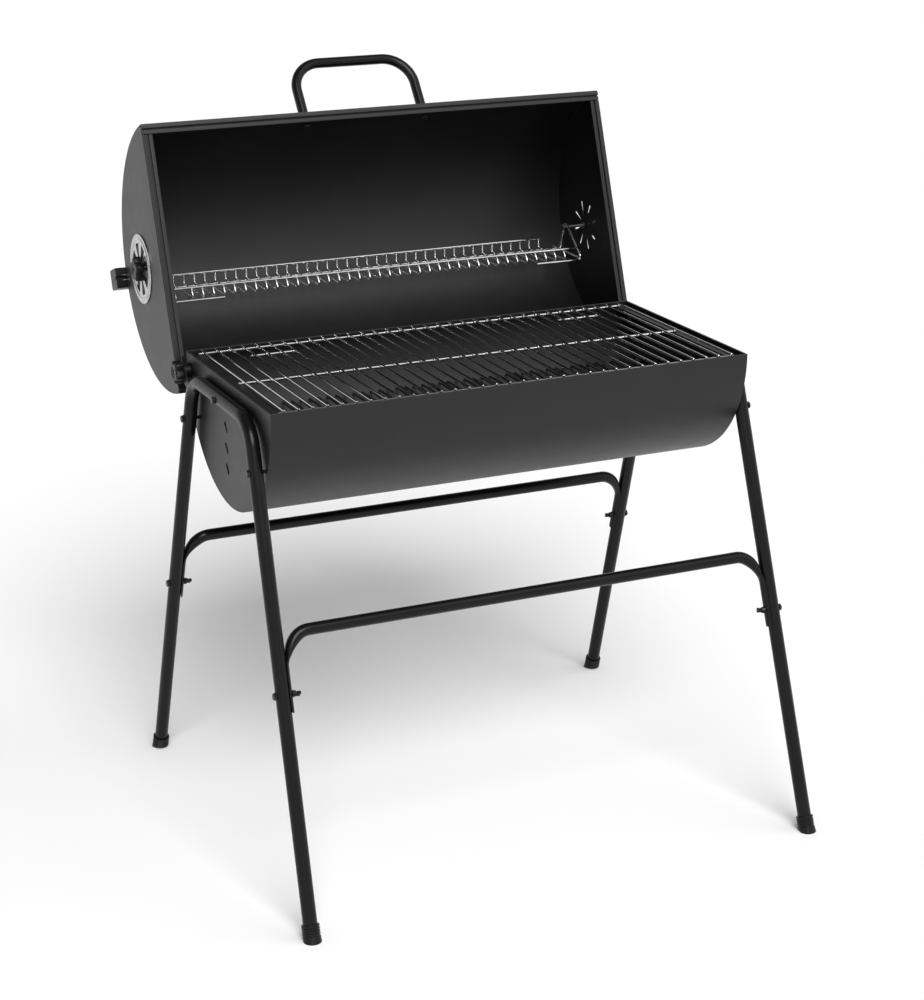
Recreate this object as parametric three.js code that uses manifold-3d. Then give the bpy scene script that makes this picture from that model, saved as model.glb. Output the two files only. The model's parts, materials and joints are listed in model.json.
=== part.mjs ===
// Barrel charcoal barbecue on a bent-tube stand, shown with its lid swung open.
// Units are millimetres. X runs along the barrel, -Y is the front and +Z is up.
// The barrel axis is a little behind the middle of the stand, and the floor is z = 0.
import * as THREE from 'three';
import { mergeVertices } from 'three/addons/utils/BufferGeometryUtils.js';
import Module from 'manifold-3d';

const wasm = await Module();
wasm.setup();

// ---- driving dimensions ----

const CLEARANCE = 0.3;
const SHEET = 1.2;

const BOWL = { halfLength: 400, radius: 203, rimHeight: 757.5, y: 7, hemDepth: 8, hemGap: 0.8 };
const AIR_SLOT = { y: 10, length: 19, width: 8.5, lean: 36, drops: [76, 110, 144] };

const LEG = { radius: 11, wall: 1.2, footX: 428, topX: 412, footY: 381.5, topHeight: 731.5, bend: 55 };
LEG.splayX = (LEG.footX - LEG.topX) / LEG.topHeight;
LEG.splayY = 0.337;
const CROSSBAR = { radius: 9.5, wall: 1, height: 432, endHeight: 320, bend: 32, boltHeight: 346 };
const SADDLE = { start: 421, end: 388, half: 1.8 };
SADDLE.radius = LEG.radius + CLEARANCE + SADDLE.half;
const FOOT = { radius: 14, height: 24, floor: 5, ribs: 2, ribPitch: 6, sides: 12 };
const FRAME_BOLT_HEIGHT = 660;
const BOLT = { radius: 3, hole: 3.8, headRadius: 6, headHeight: 3.5 };
const NUT = { radius: 6, height: 5 };
const WING = { reach: 7.5, halfWidth: 3.5, halfThickness: 1, rise: 4, root: 1, boltTip: 8 };

const LID = { halfLength: 413, radius: 219, openAngle: 109.2, seatGap: 0.6 };
const LIP = { outer: 8, groove: 2, grooveDepth: 4, inner: 6.5, step: 1 };
const HINGE = { back: 186.3, below: 29.1, radius: 4, hole: 4.4, earRadius: 15, heelReach: 45.6 };
const HEEL_ANGLE = -42.6;
const HEEL_RADIUS = 5;

const VENT = { height: 120, radius: 58, thickness: 1.5, slots: 8, slotInner: 14, slotOuter: 43 };
const VENT_SLOT = { discHalfWidth: 9.5, plateHalfWidth: 2 };
const VENT_RING = { inner: 48, outer: 52, height: 1 };
const KNOB = { lobes: 5, pointsPerLobe: 6, bore: 3.3 };
const HINGE_KNOB = { radius: 17, lobe: 2.4, depth: 14 };
const VENT_KNOB = { radius: 18.5, lobe: 3, depth: 12 };

const HANDLE = { radius: 8.5, wall: 1, halfWidth: 108, reach: 335, bend: 50, angle: 18 };
const GRIP = { side: 35, length: 33.5, chamfer: 4, slotWidth: 6, slotDepth: 5, slotLength: 19 };
const BRACKET = { length: 30, width: 30, rise: 34 };

const GRATE = { wires: 34, pitch: 22.8, wireRadius: 2, barRadius: 2.4, barHalf: 383, halfDepth: 195 };
GRATE.level = BOWL.rimHeight - 1;
GRATE.bars = [-190, -8, 190];
GRATE.strapY = 142;
GRATE.strapGaps = 3;
GRATE.firstStrap = 3;
const LEDGE = { reach: 24, fall: 12, halfLength: 196, thickness: 1.5 };
const COALS = { wires: 49, pitch: 15.5, wireRadius: 2, barRadius: 2.4, barHalf: 384, level: 660 };
COALS.bars = [-120, 120];
const RACK = { wires: 38, pitch: 18.6, wireRadius: 1.5, barRadius: 1.9, armX: 374, strapGaps: 3 };
const TRAY = { front: -62, rear: 51, floor: -45, lipY: -47, lipZ: -29, fenceTop: -28, armFoot: 25 };
// A round wire is drawn square, with this half-width for each unit of its radius.
const FLAT = 0.85;
const WELD = 0.6;
const STRAP_OVERHANG = 4;
const PEG_END = 366;

// Sides of a half round, and how far a cutting tool passes through a sheet or a tube.
const HALF_ROUND_STEPS = 32;
const THROUGH_SHEET = 5;
const THROUGH_TUBE = 20;
// A corner that turns by less than this many radians counts as straight.
const STRAIGHT = 0.001;

// ---- materials ----

function finish(color, roughness, metalness) {
  return new THREE.MeshStandardMaterial({ color, roughness, metalness });
}

const blackEnamel = finish(0x2b2b2d, 0.42, 0.2);
const blackTube = finish(0x1f1f22, 0.38, 0.2);
const chrome = finish(0xc9cbce, 0.18, 1);
const zinc = finish(0x8b8d90, 0.35, 1);
const darkSteel = finish(0x2a2a2c, 0.4, 0.8);
const blackPlastic = finish(0x161617, 0.5, 0);

// ---- solids ----

// Turns a three.js geometry into a boolean solid.
function solidOf(geometry) {
  const bare = geometry.clone();
  bare.deleteAttribute('normal');
  bare.deleteAttribute('uv');
  const merged = mergeVertices(bare, 1e-4);
  const vertProperties = new Float32Array(merged.attributes.position.array);
  const triVerts = new Uint32Array(merged.index.array);
  return new wasm.Manifold(new wasm.Mesh({ numProp: 3, vertProperties, triVerts }));
}

// Turns a boolean solid back into a flat-shaded three.js geometry.
function geometryOf(solid) {
  const mesh = solid.getMesh();
  const geometry = new THREE.BufferGeometry();
  geometry.setAttribute('position', new THREE.BufferAttribute(mesh.vertProperties, 3));
  geometry.setIndex(new THREE.BufferAttribute(mesh.triVerts, 1));
  geometry.computeVertexNormals();
  return geometry;
}

function joined(geometries) {
  const solids = geometries.map(solidOf);
  return geometryOf(solids.reduce((whole, solid) => whole.add(solid)));
}

function cut(geometry, tools) {
  return geometryOf(tools.map(solidOf).reduce((whole, tool) => whole.subtract(tool), solidOf(geometry)));
}

function common(geometry, tool) {
  return geometryOf(solidOf(geometry).intersect(solidOf(tool)));
}

// Mirrors a geometry across x = 0 when the side is -1.
function onSide(geometry, side) {
  if (side > 0) return geometry;
  const flipped = geometry.index ? geometry.toNonIndexed() : geometry.clone();
  flipped.scale(-1, 1, 1);
  const positions = flipped.attributes.position;
  for (let i = 0; i < positions.count; i += 3) {
    const [x, y, z] = [positions.getX(i), positions.getY(i), positions.getZ(i)];
    positions.setXYZ(i, positions.getX(i + 1), positions.getY(i + 1), positions.getZ(i + 1));
    positions.setXYZ(i + 1, x, y, z);
  }
  flipped.computeVertexNormals();
  return flipped;
}

function block(x, y, z) {
  const geometry = new THREE.BoxGeometry(x[1] - x[0], y[1] - y[0], z[1] - z[0]);
  return geometry.translate((x[0] + x[1]) / 2, (y[0] + y[1]) / 2, (z[0] + z[1]) / 2);
}

// A round bar along X from one x to another.
function rodX(radius, x0, x1, y, z, sides = 8) {
  const geometry = new THREE.CylinderGeometry(radius, radius, Math.abs(x1 - x0), sides);
  return geometry.rotateZ(Math.PI / 2).translate((x0 + x1) / 2, y, z);
}

// A grate wire or bar of square section along X, flat side up.
function squareX(radius, x0, x1, y, z) {
  const half = radius * FLAT;
  return block([x0, x1], [y - half, y + half], [z - half, z + half]);
}

// A grate wire of square section along Y, flat side up.
function squareY(radius, x, y0, y1, z) {
  const half = radius * FLAT;
  return block([x - half, x + half], [y0, y1], [z - half, z + half]);
}

function hexX(radius, x0, x1, y, z) {
  return rodX(radius, x0, x1, y, z, 6);
}

// Extrudes an outline drawn in the YZ plane along X, from x to x + depth.
function plateX(shape, x, depth) {
  const geometry = new THREE.ExtrudeGeometry(shape, { depth, bevelEnabled: false, curveSegments: 1 });
  const toWorld = new THREE.Matrix4().makeBasis(
    new THREE.Vector3(0, 1, 0),
    new THREE.Vector3(0, 0, 1),
    new THREE.Vector3(1, 0, 0),
  );
  return geometry.applyMatrix4(toWorld).translate(x, 0, 0);
}

// Extrudes an outline drawn in the XZ plane along Y, across both sides of y = 0.
function stripY(shape, halfLength) {
  const depth = 2 * halfLength;
  const geometry = new THREE.ExtrudeGeometry(shape, { depth, bevelEnabled: false });
  return geometry.rotateX(Math.PI / 2).translate(0, halfLength, 0);
}

function arcPoints(y, z, radius, from, to, steps) {
  const points = [];
  for (let i = 0; i <= steps; i += 1) {
    const angle = THREE.MathUtils.degToRad(from + ((to - from) * i) / steps);
    points.push(new THREE.Vector2(y + radius * Math.cos(angle), z + radius * Math.sin(angle)));
  }
  return points;
}

const outline = (pairs) => pairs.map(([a, b]) => new THREE.Vector2(a, b));

function ringShape(radius, sides, boreRadius = 0) {
  const shape = new THREE.Shape(arcPoints(0, 0, radius, 0, 360 - 360 / sides, sides - 1));
  if (boreRadius > 0) {
    shape.holes.push(new THREE.Path(arcPoints(0, 0, boreRadius, 0, 360 - 360 / sides, sides - 1)));
  }
  return shape;
}

// A path whose extrusion steps fall exactly on the given stations.
class StationPath extends THREE.Curve {
  constructor(stations) {
    super();
    this.stations = stations;
  }

  getSpacedPoints() {
    return this.stations.map((station) => station.clone());
  }

  getTangentAt(u, target = new THREE.Vector3()) {
    const last = this.stations.length - 1;
    const i = Math.round(u * last);
    const before = this.stations[Math.max(i - 1, 0)];
    const here = this.stations[i];
    const after = this.stations[Math.min(i + 1, last)];
    const arriving = here.clone().sub(before).normalize();
    const leaving = after.clone().sub(here).normalize();
    return target.copy(arriving).add(leaving).normalize();
  }
}

// Rounds each inner corner of a polyline with an arc of the given radius.
function bentStations(corners, radius, stepsPerBend) {
  const stations = [corners[0]];
  for (let i = 1; i < corners.length - 1; i += 1) {
    const into = corners[i].clone().sub(corners[i - 1]).normalize();
    const away = corners[i + 1].clone().sub(corners[i]).normalize();
    const turn = into.angleTo(away);
    if (turn < STRAIGHT) {
      stations.push(corners[i]);
      continue;
    }
    const start = corners[i].clone().addScaledVector(into, -radius * Math.tan(turn / 2));
    const inward = away.clone().addScaledVector(into, -away.dot(into)).normalize();
    const centre = start.clone().addScaledVector(inward, radius);
    for (let step = 0; step <= stepsPerBend; step += 1) {
      const angle = (turn * step) / stepsPerBend;
      const station = centre.clone().addScaledVector(inward, -radius * Math.cos(angle));
      stations.push(station.addScaledVector(into, radius * Math.sin(angle)));
    }
  }
  stations.push(corners[corners.length - 1]);
  return stations;
}

// A bent tube, open at both ends when it has a bore.
function bentTube(corners, radius, boreRadius, bend, sides, stepsPerBend = 4) {
  const stations = bentStations(corners, bend, stepsPerBend);
  return new THREE.ExtrudeGeometry(ringShape(radius, sides, boreRadius), {
    steps: stations.length - 1,
    extrudePath: new StationPath(stations),
    curveSegments: 1,
  });
}

// A knob outline with rounded lobes and a bore.
function lobedShape(knob) {
  const count = KNOB.lobes * KNOB.pointsPerLobe;
  const points = [];
  for (let i = 0; i < count; i += 1) {
    const angle = (2 * Math.PI * i) / count;
    const reach = knob.radius + knob.lobe * Math.cos(KNOB.lobes * angle);
    points.push(new THREE.Vector2(reach * Math.cos(angle), reach * Math.sin(angle)));
  }
  const shape = new THREE.Shape(points);
  shape.holes.push(new THREE.Path(arcPoints(0, 0, knob.bore, 0, 315, 7)));
  return shape;
}

// ---- bowl ----

// Half-round sheet, with the rim hemmed inwards along both long edges.
function bowlShellGeometry() {
  const inner = BOWL.radius - SHEET;
  const hemOuter = inner - BOWL.hemGap;
  const hemInner = hemOuter - SHEET;
  const bottom = -BOWL.hemDepth;
  const points = [
    ...arcPoints(0, 0, BOWL.radius, 180, 360, HALF_ROUND_STEPS),
    ...outline([[hemInner, 0], [hemInner, bottom], [hemOuter, bottom], [hemOuter, -SHEET], [inner, -SHEET]]),
    ...arcPoints(0, 0, inner, -4, -176, HALF_ROUND_STEPS),
    ...outline([[-inner, -SHEET], [-hemOuter, -SHEET], [-hemOuter, bottom], [-hemInner, bottom]]),
    new THREE.Vector2(-hemInner, 0),
  ];
  return plateX(new THREE.Shape(points), -BOWL.halfLength, 2 * BOWL.halfLength);
}

// Slanted oblong holes stacked under the rim, which let air in below the coals.
function airSlotTools(x) {
  return AIR_SLOT.drops.map((drop) => {
    const slot = new THREE.BoxGeometry(THROUGH_TUBE, AIR_SLOT.width, AIR_SLOT.length);
    slot.rotateX(THREE.MathUtils.degToRad(-AIR_SLOT.lean));
    return slot.translate(x, AIR_SLOT.y, -drop);
  });
}

// Half-round plate set just inside the shell, with a narrow fold along its top edge.
function bowlEndGeometry(side) {
  const radius = BOWL.radius - SHEET - CLEARANCE;
  const notch = BOWL.radius - 2 * SHEET - BOWL.hemGap - SHEET - CLEARANCE;
  const x = BOWL.halfLength - SHEET;
  const [from, to] = [x - THROUGH_SHEET, x + THROUGH_SHEET];
  const plate = plateX(new THREE.Shape(arcPoints(0, 0, radius, 180, 360, HALF_ROUND_STEPS)), x, SHEET);
  const fold = block([x - 3, x + SHEET / 2], [-notch + 1, notch - 1], [-SHEET, 0]);
  const rimNotch = (s) => block([from, to], s > 0 ? [notch, BOWL.radius] : [-BOWL.radius, -notch], [-9, 5]);
  const holes = [
    rodX(HINGE.hole, from, to, HINGE.back, -HINGE.below, 12),
    ...frameBoltSpots().map(([y, z]) => rodX(BOLT.hole, from, to, y - BOWL.y, z - BOWL.rimHeight)),
  ];
  const tools = [rimNotch(1), rimNotch(-1), ...airSlotTools(x), ...holes];
  return onSide(cut(joined([plate, fold]), tools), side);
}

// ---- stand ----

const legX = (height) => LEG.footX - LEG.splayX * height;
const legY = (height) => LEG.footY - LEG.splayY * height;

// Where the stand's bolts pass into the bowl's end plates, as y and z in the stand's frame.
function frameBoltSpots() {
  const y = legY(FRAME_BOLT_HEIGHT);
  return [[0, LEG.topHeight], [-y, FRAME_BOLT_HEIGHT], [y, FRAME_BOLT_HEIGHT]];
}

function legFrameGeometry(side) {
  const low = FOOT.floor + 2;
  const corners = [
    new THREE.Vector3(legX(low), -legY(low), low),
    new THREE.Vector3(LEG.topX, -legY(LEG.topHeight), LEG.topHeight),
    new THREE.Vector3(LEG.topX, legY(LEG.topHeight), LEG.topHeight),
    new THREE.Vector3(legX(low), legY(low), low),
  ];
  const tube = bentTube(corners, LEG.radius, LEG.radius - LEG.wall, LEG.bend, 10);
  const reach = LEG.radius + 10;
  const crossbarY = legY(CROSSBAR.boltHeight);
  const spots = [...frameBoltSpots(), [crossbarY, CROSSBAR.boltHeight], [-crossbarY, CROSSBAR.boltHeight]];
  const drills = spots.map(([y, z]) => rodX(BOLT.hole, legX(z) - reach, legX(z) + reach, y, z, 6));
  return onSide(cut(tube, drills), side);
}

const crossbarX = (height) => legX(height) - LEG.radius - CROSSBAR.radius - 2 * CLEARANCE;

// Presses the ends of a crossbar into saddles that wrap the inner sides of the legs.
function pressEnds(geometry, facing) {
  const positions = geometry.attributes.position;
  const midWall = CROSSBAR.radius - CROSSBAR.wall / 2;
  for (let i = 0; i < positions.count; i += 1) {
    const [x, y, z] = [positions.getX(i), positions.getY(i), positions.getZ(i)];
    const share = 1 - THREE.MathUtils.smoothstep(z, SADDLE.end, SADDLE.start);
    const inwards = crossbarX(z) - Math.abs(x);
    const along = y - facing * legY(z);
    const outwards = Math.hypot(inwards, along);
    if (share > 0 && outwards > 0) {
      const half = outwards > midWall ? SADDLE.half : SADDLE.half - CROSSBAR.wall;
      const reach = SADDLE.radius + (half * inwards) / outwards;
      const turn = along / SADDLE.radius;
      const pressedX = Math.sign(x) * (legX(z) - reach * Math.cos(turn));
      const pressedY = facing * legY(z) + reach * Math.sin(turn);
      positions.setX(i, THREE.MathUtils.lerp(x, pressedX, share));
      positions.setY(i, THREE.MathUtils.lerp(y, pressedY, share));
    }
  }
  return geometry;
}

function crossbarGeometry(facing) {
  const arm = (side, z) => new THREE.Vector3(side * crossbarX(z), facing * legY(z), z);
  const heights = [CROSSBAR.endHeight, SADDLE.end, CROSSBAR.height];
  const corners = [
    ...heights.map((z) => arm(-1, z)),
    ...heights.reverse().map((z) => arm(1, z)),
  ];
  const tube = bentTube(corners, CROSSBAR.radius, CROSSBAR.radius - CROSSBAR.wall, CROSSBAR.bend, 10, 6);
  const z = CROSSBAR.boltHeight;
  const drills = [-1, 1].map((side) => {
    const x = side * crossbarX(z);
    return rodX(BOLT.hole, x - THROUGH_TUBE, x + THROUGH_TUBE, facing * legY(z), z, 6);
  });
  return cut(pressEnds(tube, facing), drills);
}

// A ribbed plastic shoe pushed over the leg's end and cut level with the floor.
function footCapGeometry(side, facing) {
  const wall = (LEG.radius + CLEARANCE) / Math.cos(Math.PI / FOOT.sides);
  const profile = [[0, -10], [FOOT.radius, -10]];
  for (let rib = 0; rib < FOOT.ribs; rib += 1) {
    const z = 9 + rib * FOOT.ribPitch;
    profile.push([FOOT.radius, z], [FOOT.radius - 1, z + 1], [FOOT.radius - 1, z + 3], [FOOT.radius, z + 4]);
  }
  profile.push([FOOT.radius - 0.5, FOOT.height], [wall, FOOT.height], [wall, FOOT.floor], [0, FOOT.floor]);
  const shoe = new THREE.LatheGeometry(outline(profile), FOOT.sides);
  shoe.rotateX(Math.PI / 2);
  const direction = new THREE.Vector3(-side * LEG.splayX, -facing * LEG.splayY, 1).normalize();
  const turn = new THREE.Quaternion().setFromUnitVectors(new THREE.Vector3(0, 0, 1), direction);
  shoe.applyQuaternion(turn);
  shoe.translate(side * LEG.footX, facing * LEG.footY, 0);
  const x = side * LEG.footX;
  const y = facing * LEG.footY;
  return common(shoe, block([x - 50, x + 50], [y - 50, y + 50], [0, 60]));
}

// Where a nut bears on the inside of a crossbar's saddle.
const saddleFace = (height) => legX(height) - SADDLE.radius - SADDLE.half - CLEARANCE;

function crossbarBoltGeometry(side, facing) {
  const z = CROSSBAR.boltHeight;
  const y = facing * legY(z);
  const outer = legX(z) + LEG.radius + CLEARANCE;
  const inner = saddleFace(z) - NUT.height - WING.boltTip;
  const head = hexX(BOLT.headRadius, outer, outer + BOLT.headHeight, y, z);
  return onSide(joined([head, rodX(BOLT.radius, inner, outer + 1, y, z, 8)]), side);
}

// Hub with two raised wings, threaded on the crossbar bolt.
function wingNutGeometry(side, facing) {
  const z = CROSSBAR.boltHeight;
  const y = facing * legY(z);
  const face = saddleFace(z);
  const hub = hexX(NUT.radius, face - NUT.height, face, y, z);
  const wing = (s) => {
    const middle = y + s * WING.reach;
    return block(
      [face - NUT.height - WING.rise, face - WING.root],
      [middle - WING.halfWidth, middle + WING.halfWidth],
      [z - WING.halfThickness, z + WING.halfThickness],
    );
  };
  const bore = rodX(BOLT.radius + CLEARANCE, face - THROUGH_TUBE, face + THROUGH_TUBE, y, z, 8);
  return onSide(cut(joined([hub, wing(1), wing(-1)]), [bore]), side);
}

function frameBoltGeometry(side, [y, z]) {
  const outer = legX(z) + LEG.radius + CLEARANCE;
  const inner = BOWL.halfLength - SHEET - NUT.height - 3;
  const head = hexX(BOLT.headRadius, outer, outer + BOLT.headHeight, y, z);
  return onSide(joined([head, rodX(BOLT.radius, inner, outer + 1, y, z, 8)]), side);
}

function frameNutGeometry(side, [y, z]) {
  const face = BOWL.halfLength - SHEET - CLEARANCE;
  const nut = hexX(NUT.radius, face - NUT.height, face, y, z);
  const bore = rodX(BOLT.radius + CLEARANCE, face - THROUGH_TUBE, face + THROUGH_TUBE, y, z, 8);
  return onSide(cut(nut, [bore]), side);
}

// ---- grates ----

// Angle strip riveted inside a bowl end, which carries the cooking grate.
function ledgeGeometry(side) {
  const top = barLevel(GRATE) - FLAT * GRATE.barRadius - CLEARANCE;
  const wall = BOWL.halfLength - SHEET - CLEARANCE;
  const half = LEDGE.halfLength;
  const shelf = block([wall - LEDGE.reach, wall], [-half, half], [top - LEDGE.thickness, top]);
  const back = block([wall - LEDGE.thickness, wall], [-half, half], [top - LEDGE.fall, top - 1]);
  return onSide(joined([shelf, back]), side);
}

// Height of the bars under a grate's wires, which sink a little into them at the welds.
const barLevel = (grate) => grate.level - FLAT * (grate.wireRadius + grate.barRadius) + WELD;

// Wires run front to back over three long bars, with two short straps near the rear corners.
function cookingGrateGeometry() {
  const barZ = barLevel(GRATE);
  const wireX = (i) => (i - (GRATE.wires - 1) / 2) * GRATE.pitch;
  const pieces = [];
  for (let i = 0; i < GRATE.wires; i += 1) {
    pieces.push(squareY(GRATE.wireRadius, wireX(i), -GRATE.halfDepth, GRATE.halfDepth, GRATE.level));
  }
  for (const y of GRATE.bars) {
    pieces.push(squareX(GRATE.barRadius, -GRATE.barHalf, GRATE.barHalf, y, barZ));
  }
  for (const start of [GRATE.firstStrap, GRATE.wires - 1 - GRATE.firstStrap - GRATE.strapGaps]) {
    const from = wireX(start) - STRAP_OVERHANG;
    const to = wireX(start + GRATE.strapGaps) + STRAP_OVERHANG;
    pieces.push(squareX(GRATE.barRadius, from, to, GRATE.strapY, barZ));
  }
  return joined(pieces);
}

// A coarser grate whose wire ends rest on the curve of the bowl.
function charcoalGrateGeometry() {
  const depth = BOWL.rimHeight - COALS.level + COALS.wireRadius;
  const reach = BOWL.radius - SHEET - CLEARANCE - 0.1;
  const halfDepth = Math.sqrt(reach ** 2 - depth ** 2);
  const barZ = barLevel(COALS);
  const pieces = [];
  for (let i = 0; i < COALS.wires; i += 1) {
    const x = (i - (COALS.wires - 1) / 2) * COALS.pitch;
    pieces.push(squareY(COALS.wireRadius, x, -halfDepth, halfDepth, COALS.level));
  }
  for (const y of COALS.bars) {
    pieces.push(squareX(COALS.barRadius, -COALS.barHalf, COALS.barHalf, y, barZ));
  }
  return joined(pieces);
}

// ---- lid, drawn closed about the barrel axis ----

// Folded edge: an outer lip, a groove and an inner lip, seen from the open side.
function lipOutline(edge) {
  const groove = edge - LIP.outer;
  const inner = groove - LIP.groove;
  const end = inner - LIP.inner;
  const top = LIP.grooveDepth + SHEET;
  return [
    [edge, 0], [groove, 0], [groove, LIP.grooveDepth], [inner, LIP.grooveDepth], [inner, LIP.step],
    [end, LIP.step], [end, LIP.step + SHEET], [inner - SHEET, LIP.step + SHEET], [inner - SHEET, top],
    [groove + SHEET, top], [groove + SHEET, SHEET], [edge - SHEET, SHEET],
  ];
}

function lidShellGeometry() {
  const front = lipOutline(LID.radius).map(([y, z]) => [-y, z]);
  const rear = lipOutline(LID.radius).reverse();
  const points = [
    ...arcPoints(0, 0, LID.radius, 0, 180, HALF_ROUND_STEPS),
    ...outline(front.slice(1)),
    ...arcPoints(0, 0, LID.radius - SHEET, 178, 2, HALF_ROUND_STEPS),
    ...outline(rear.slice(0, -1)),
  ];
  const shell = plateX(new THREE.Shape(points), -LID.halfLength, 2 * LID.halfLength);
  const drill = (x) => {
    const hole = new THREE.CylinderGeometry(BOLT.hole, BOLT.hole, 30, 8);
    hole.translate(0, LID.radius, 0).rotateX(THREE.MathUtils.degToRad(180 - HANDLE.angle));
    return hole.translate(x, 0, 0);
  };
  return cut(shell, [drill(-HANDLE.halfWidth), drill(HANDLE.halfWidth)]);
}

// Radial slots round the vent axis, wider at the rim than at the hub.
function ventSlotTools(x, halfWidth) {
  const tools = [];
  for (let i = 0; i < VENT.slots; i += 1) {
    const wedge = outline([
      [VENT.slotInner, -halfWidth / 4], [VENT.slotOuter, -halfWidth],
      [VENT.slotOuter, halfWidth], [VENT.slotInner, halfWidth / 4],
    ]);
    const tool = plateX(new THREE.Shape(wedge), x - THROUGH_SHEET, 2 * THROUGH_SHEET);
    tools.push(tool.rotateX((2 * Math.PI * i) / VENT.slots).translate(0, 0, VENT.height));
  }
  return tools;
}

const pivotInLid = () => ({ y: HINGE.back, z: -HINGE.below - LID.seatGap });

// Drop-shaped ear round the hinge bolt; its heel lands on the leg frame when the lid is open.
function earGeometry(x) {
  const pivot = pivotInLid();
  const heel = THREE.MathUtils.degToRad(HEEL_ANGLE);
  const reach = HINGE.heelReach - HEEL_RADIUS;
  const heelY = pivot.y + reach * Math.cos(heel);
  const heelZ = pivot.z + reach * Math.sin(heel);
  const lean = THREE.MathUtils.radToDeg(Math.asin((HINGE.earRadius - HEEL_RADIUS) / reach));
  const tail = new THREE.Shape([
    ...arcPoints(pivot.y, pivot.z, HINGE.earRadius, HEEL_ANGLE + 90 - lean, HEEL_ANGLE + 270 + lean, 14),
    ...arcPoints(heelY, heelZ, HEEL_RADIUS, HEEL_ANGLE - 90 + lean, HEEL_ANGLE + 90 - lean, 6),
  ]);
  const low = pivot.y - HINGE.earRadius;
  const high = pivot.y + HINGE.earRadius;
  const neck = block([x, x + SHEET], [low, high], [pivot.z, LIP.grooveDepth + 2 * SHEET + 1]);
  return joined([plateX(tail, x, SHEET), neck]);
}

// Half-round plate with a folded edge, notched beside the hinge so that the fold swings past the bowl's rim.
function lidEndGeometry(side) {
  const radius = LID.radius - SHEET - CLEARANCE;
  const x = LID.halfLength - SHEET;
  const plate = plateX(new THREE.Shape(arcPoints(0, 0, radius, 0, 180, HALF_ROUND_STEPS)), x, SHEET);
  const clear = LID.radius - LIP.outer - LIP.groove - LIP.inner - CLEARANCE;
  const fold = stripY(new THREE.Shape(outline(lipOutline(LID.halfLength))), clear - 1);
  const [from, to] = [x - THROUGH_SHEET, x + THROUGH_SHEET];
  const corner = (s) => block([from, to], s > 0 ? [clear, LID.radius] : [-LID.radius, -clear], [-1, 5.6]);
  const pivot = pivotInLid();
  const holes = [
    rodX(HINGE.hole, from, to, pivot.y, pivot.z, 12),
    rodX(BOLT.hole, from, to, 0, VENT.height, 8),
  ];
  const swingNotch = block(
    [x - THROUGH_TUBE, BOWL.halfLength + 2 * CLEARANCE],
    [HINGE.back - 26, clear + 1],
    [-1, 10],
  );
  const body = joined([cut(plate, [corner(1), corner(-1)]), fold, earGeometry(x)]);
  const tools = [...holes, ...ventSlotTools(x, VENT_SLOT.plateHalfWidth), swingNotch];
  return onSide(cut(body, tools), side);
}

function lidHandleGeometry() {
  const angle = THREE.MathUtils.degToRad(HANDLE.angle);
  const foot = LID.radius + 0.6;
  const at = (x, reach) => new THREE.Vector3(x, -reach * Math.cos(angle), reach * Math.sin(angle));
  const corners = [
    at(-HANDLE.halfWidth, foot), at(-HANDLE.halfWidth, HANDLE.reach),
    at(HANDLE.halfWidth, HANDLE.reach), at(HANDLE.halfWidth, foot),
  ];
  return bentTube(corners, HANDLE.radius, HANDLE.radius - HANDLE.wall, HANDLE.bend, 8);
}

// Pan-head screw that holds one foot of the handle from inside the lid.
function handleScrewGeometry(x) {
  const inner = LID.radius - SHEET - CLEARANCE;
  const profile = outline([
    [0, -4], [6, -4], [7, -2.5], [7, -0.6],
    [BOLT.radius, -0.6], [BOLT.radius, 16], [0, 16],
  ]);
  const screw = new THREE.LatheGeometry(profile, 10);
  screw.translate(0, inner, 0).rotateX(THREE.MathUtils.degToRad(180 - HANDLE.angle));
  return screw.translate(x, 0, 0);
}

// ---- grip on the crown of the lid, overhanging its left end ----

const gripInner = -(LID.halfLength - 16);
const gripCentre = LID.radius + 3 + GRIP.side / 2;

function bracketGeometry() {
  const low = LID.radius + CLEARANCE;
  const half = BRACKET.width / 2;
  const base = block([gripInner + 0.5, gripInner + BRACKET.length], [-half, half], [low, low + 1.6]);
  const upright = block([gripInner + 0.5, gripInner + 2.1], [-half, half], [low, low + BRACKET.rise]);
  const hole = rodX(BOLT.hole, gripInner - 5, gripInner + 8, 0, gripCentre, 8);
  return cut(joined([base, upright]), [hole]);
}

function gripGeometry() {
  const half = GRIP.side / 2;
  const flat = half - GRIP.chamfer;
  const section = new THREE.Shape(outline([
    [-flat, -half], [flat, -half], [half, -flat], [half, flat],
    [flat, half], [-flat, half], [-half, flat], [-half, -flat],
  ]));
  const outer = gripInner - GRIP.length;
  const body = plateX(section, outer, GRIP.length).translate(0, 0, gripCentre);
  const under = gripCentre - half;
  const slotHalf = GRIP.slotWidth / 2;
  const slot = block(
    [outer - 1, outer + GRIP.slotLength],
    [-slotHalf, slotHalf],
    [under - 1, under + GRIP.slotDepth],
  );
  const bore = rodX(BOLT.hole, gripInner - 22, gripInner + 5, 0, gripCentre, 8);
  return cut(body, [slot, bore]);
}

function gripScrewGeometry() {
  const face = gripInner + 2.1 + CLEARANCE;
  const head = hexX(BOLT.headRadius, face, face + BOLT.headHeight, 0, gripCentre);
  return joined([head, rodX(BOLT.radius, gripInner - 20, face + 1, 0, gripCentre, 8)]);
}

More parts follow.
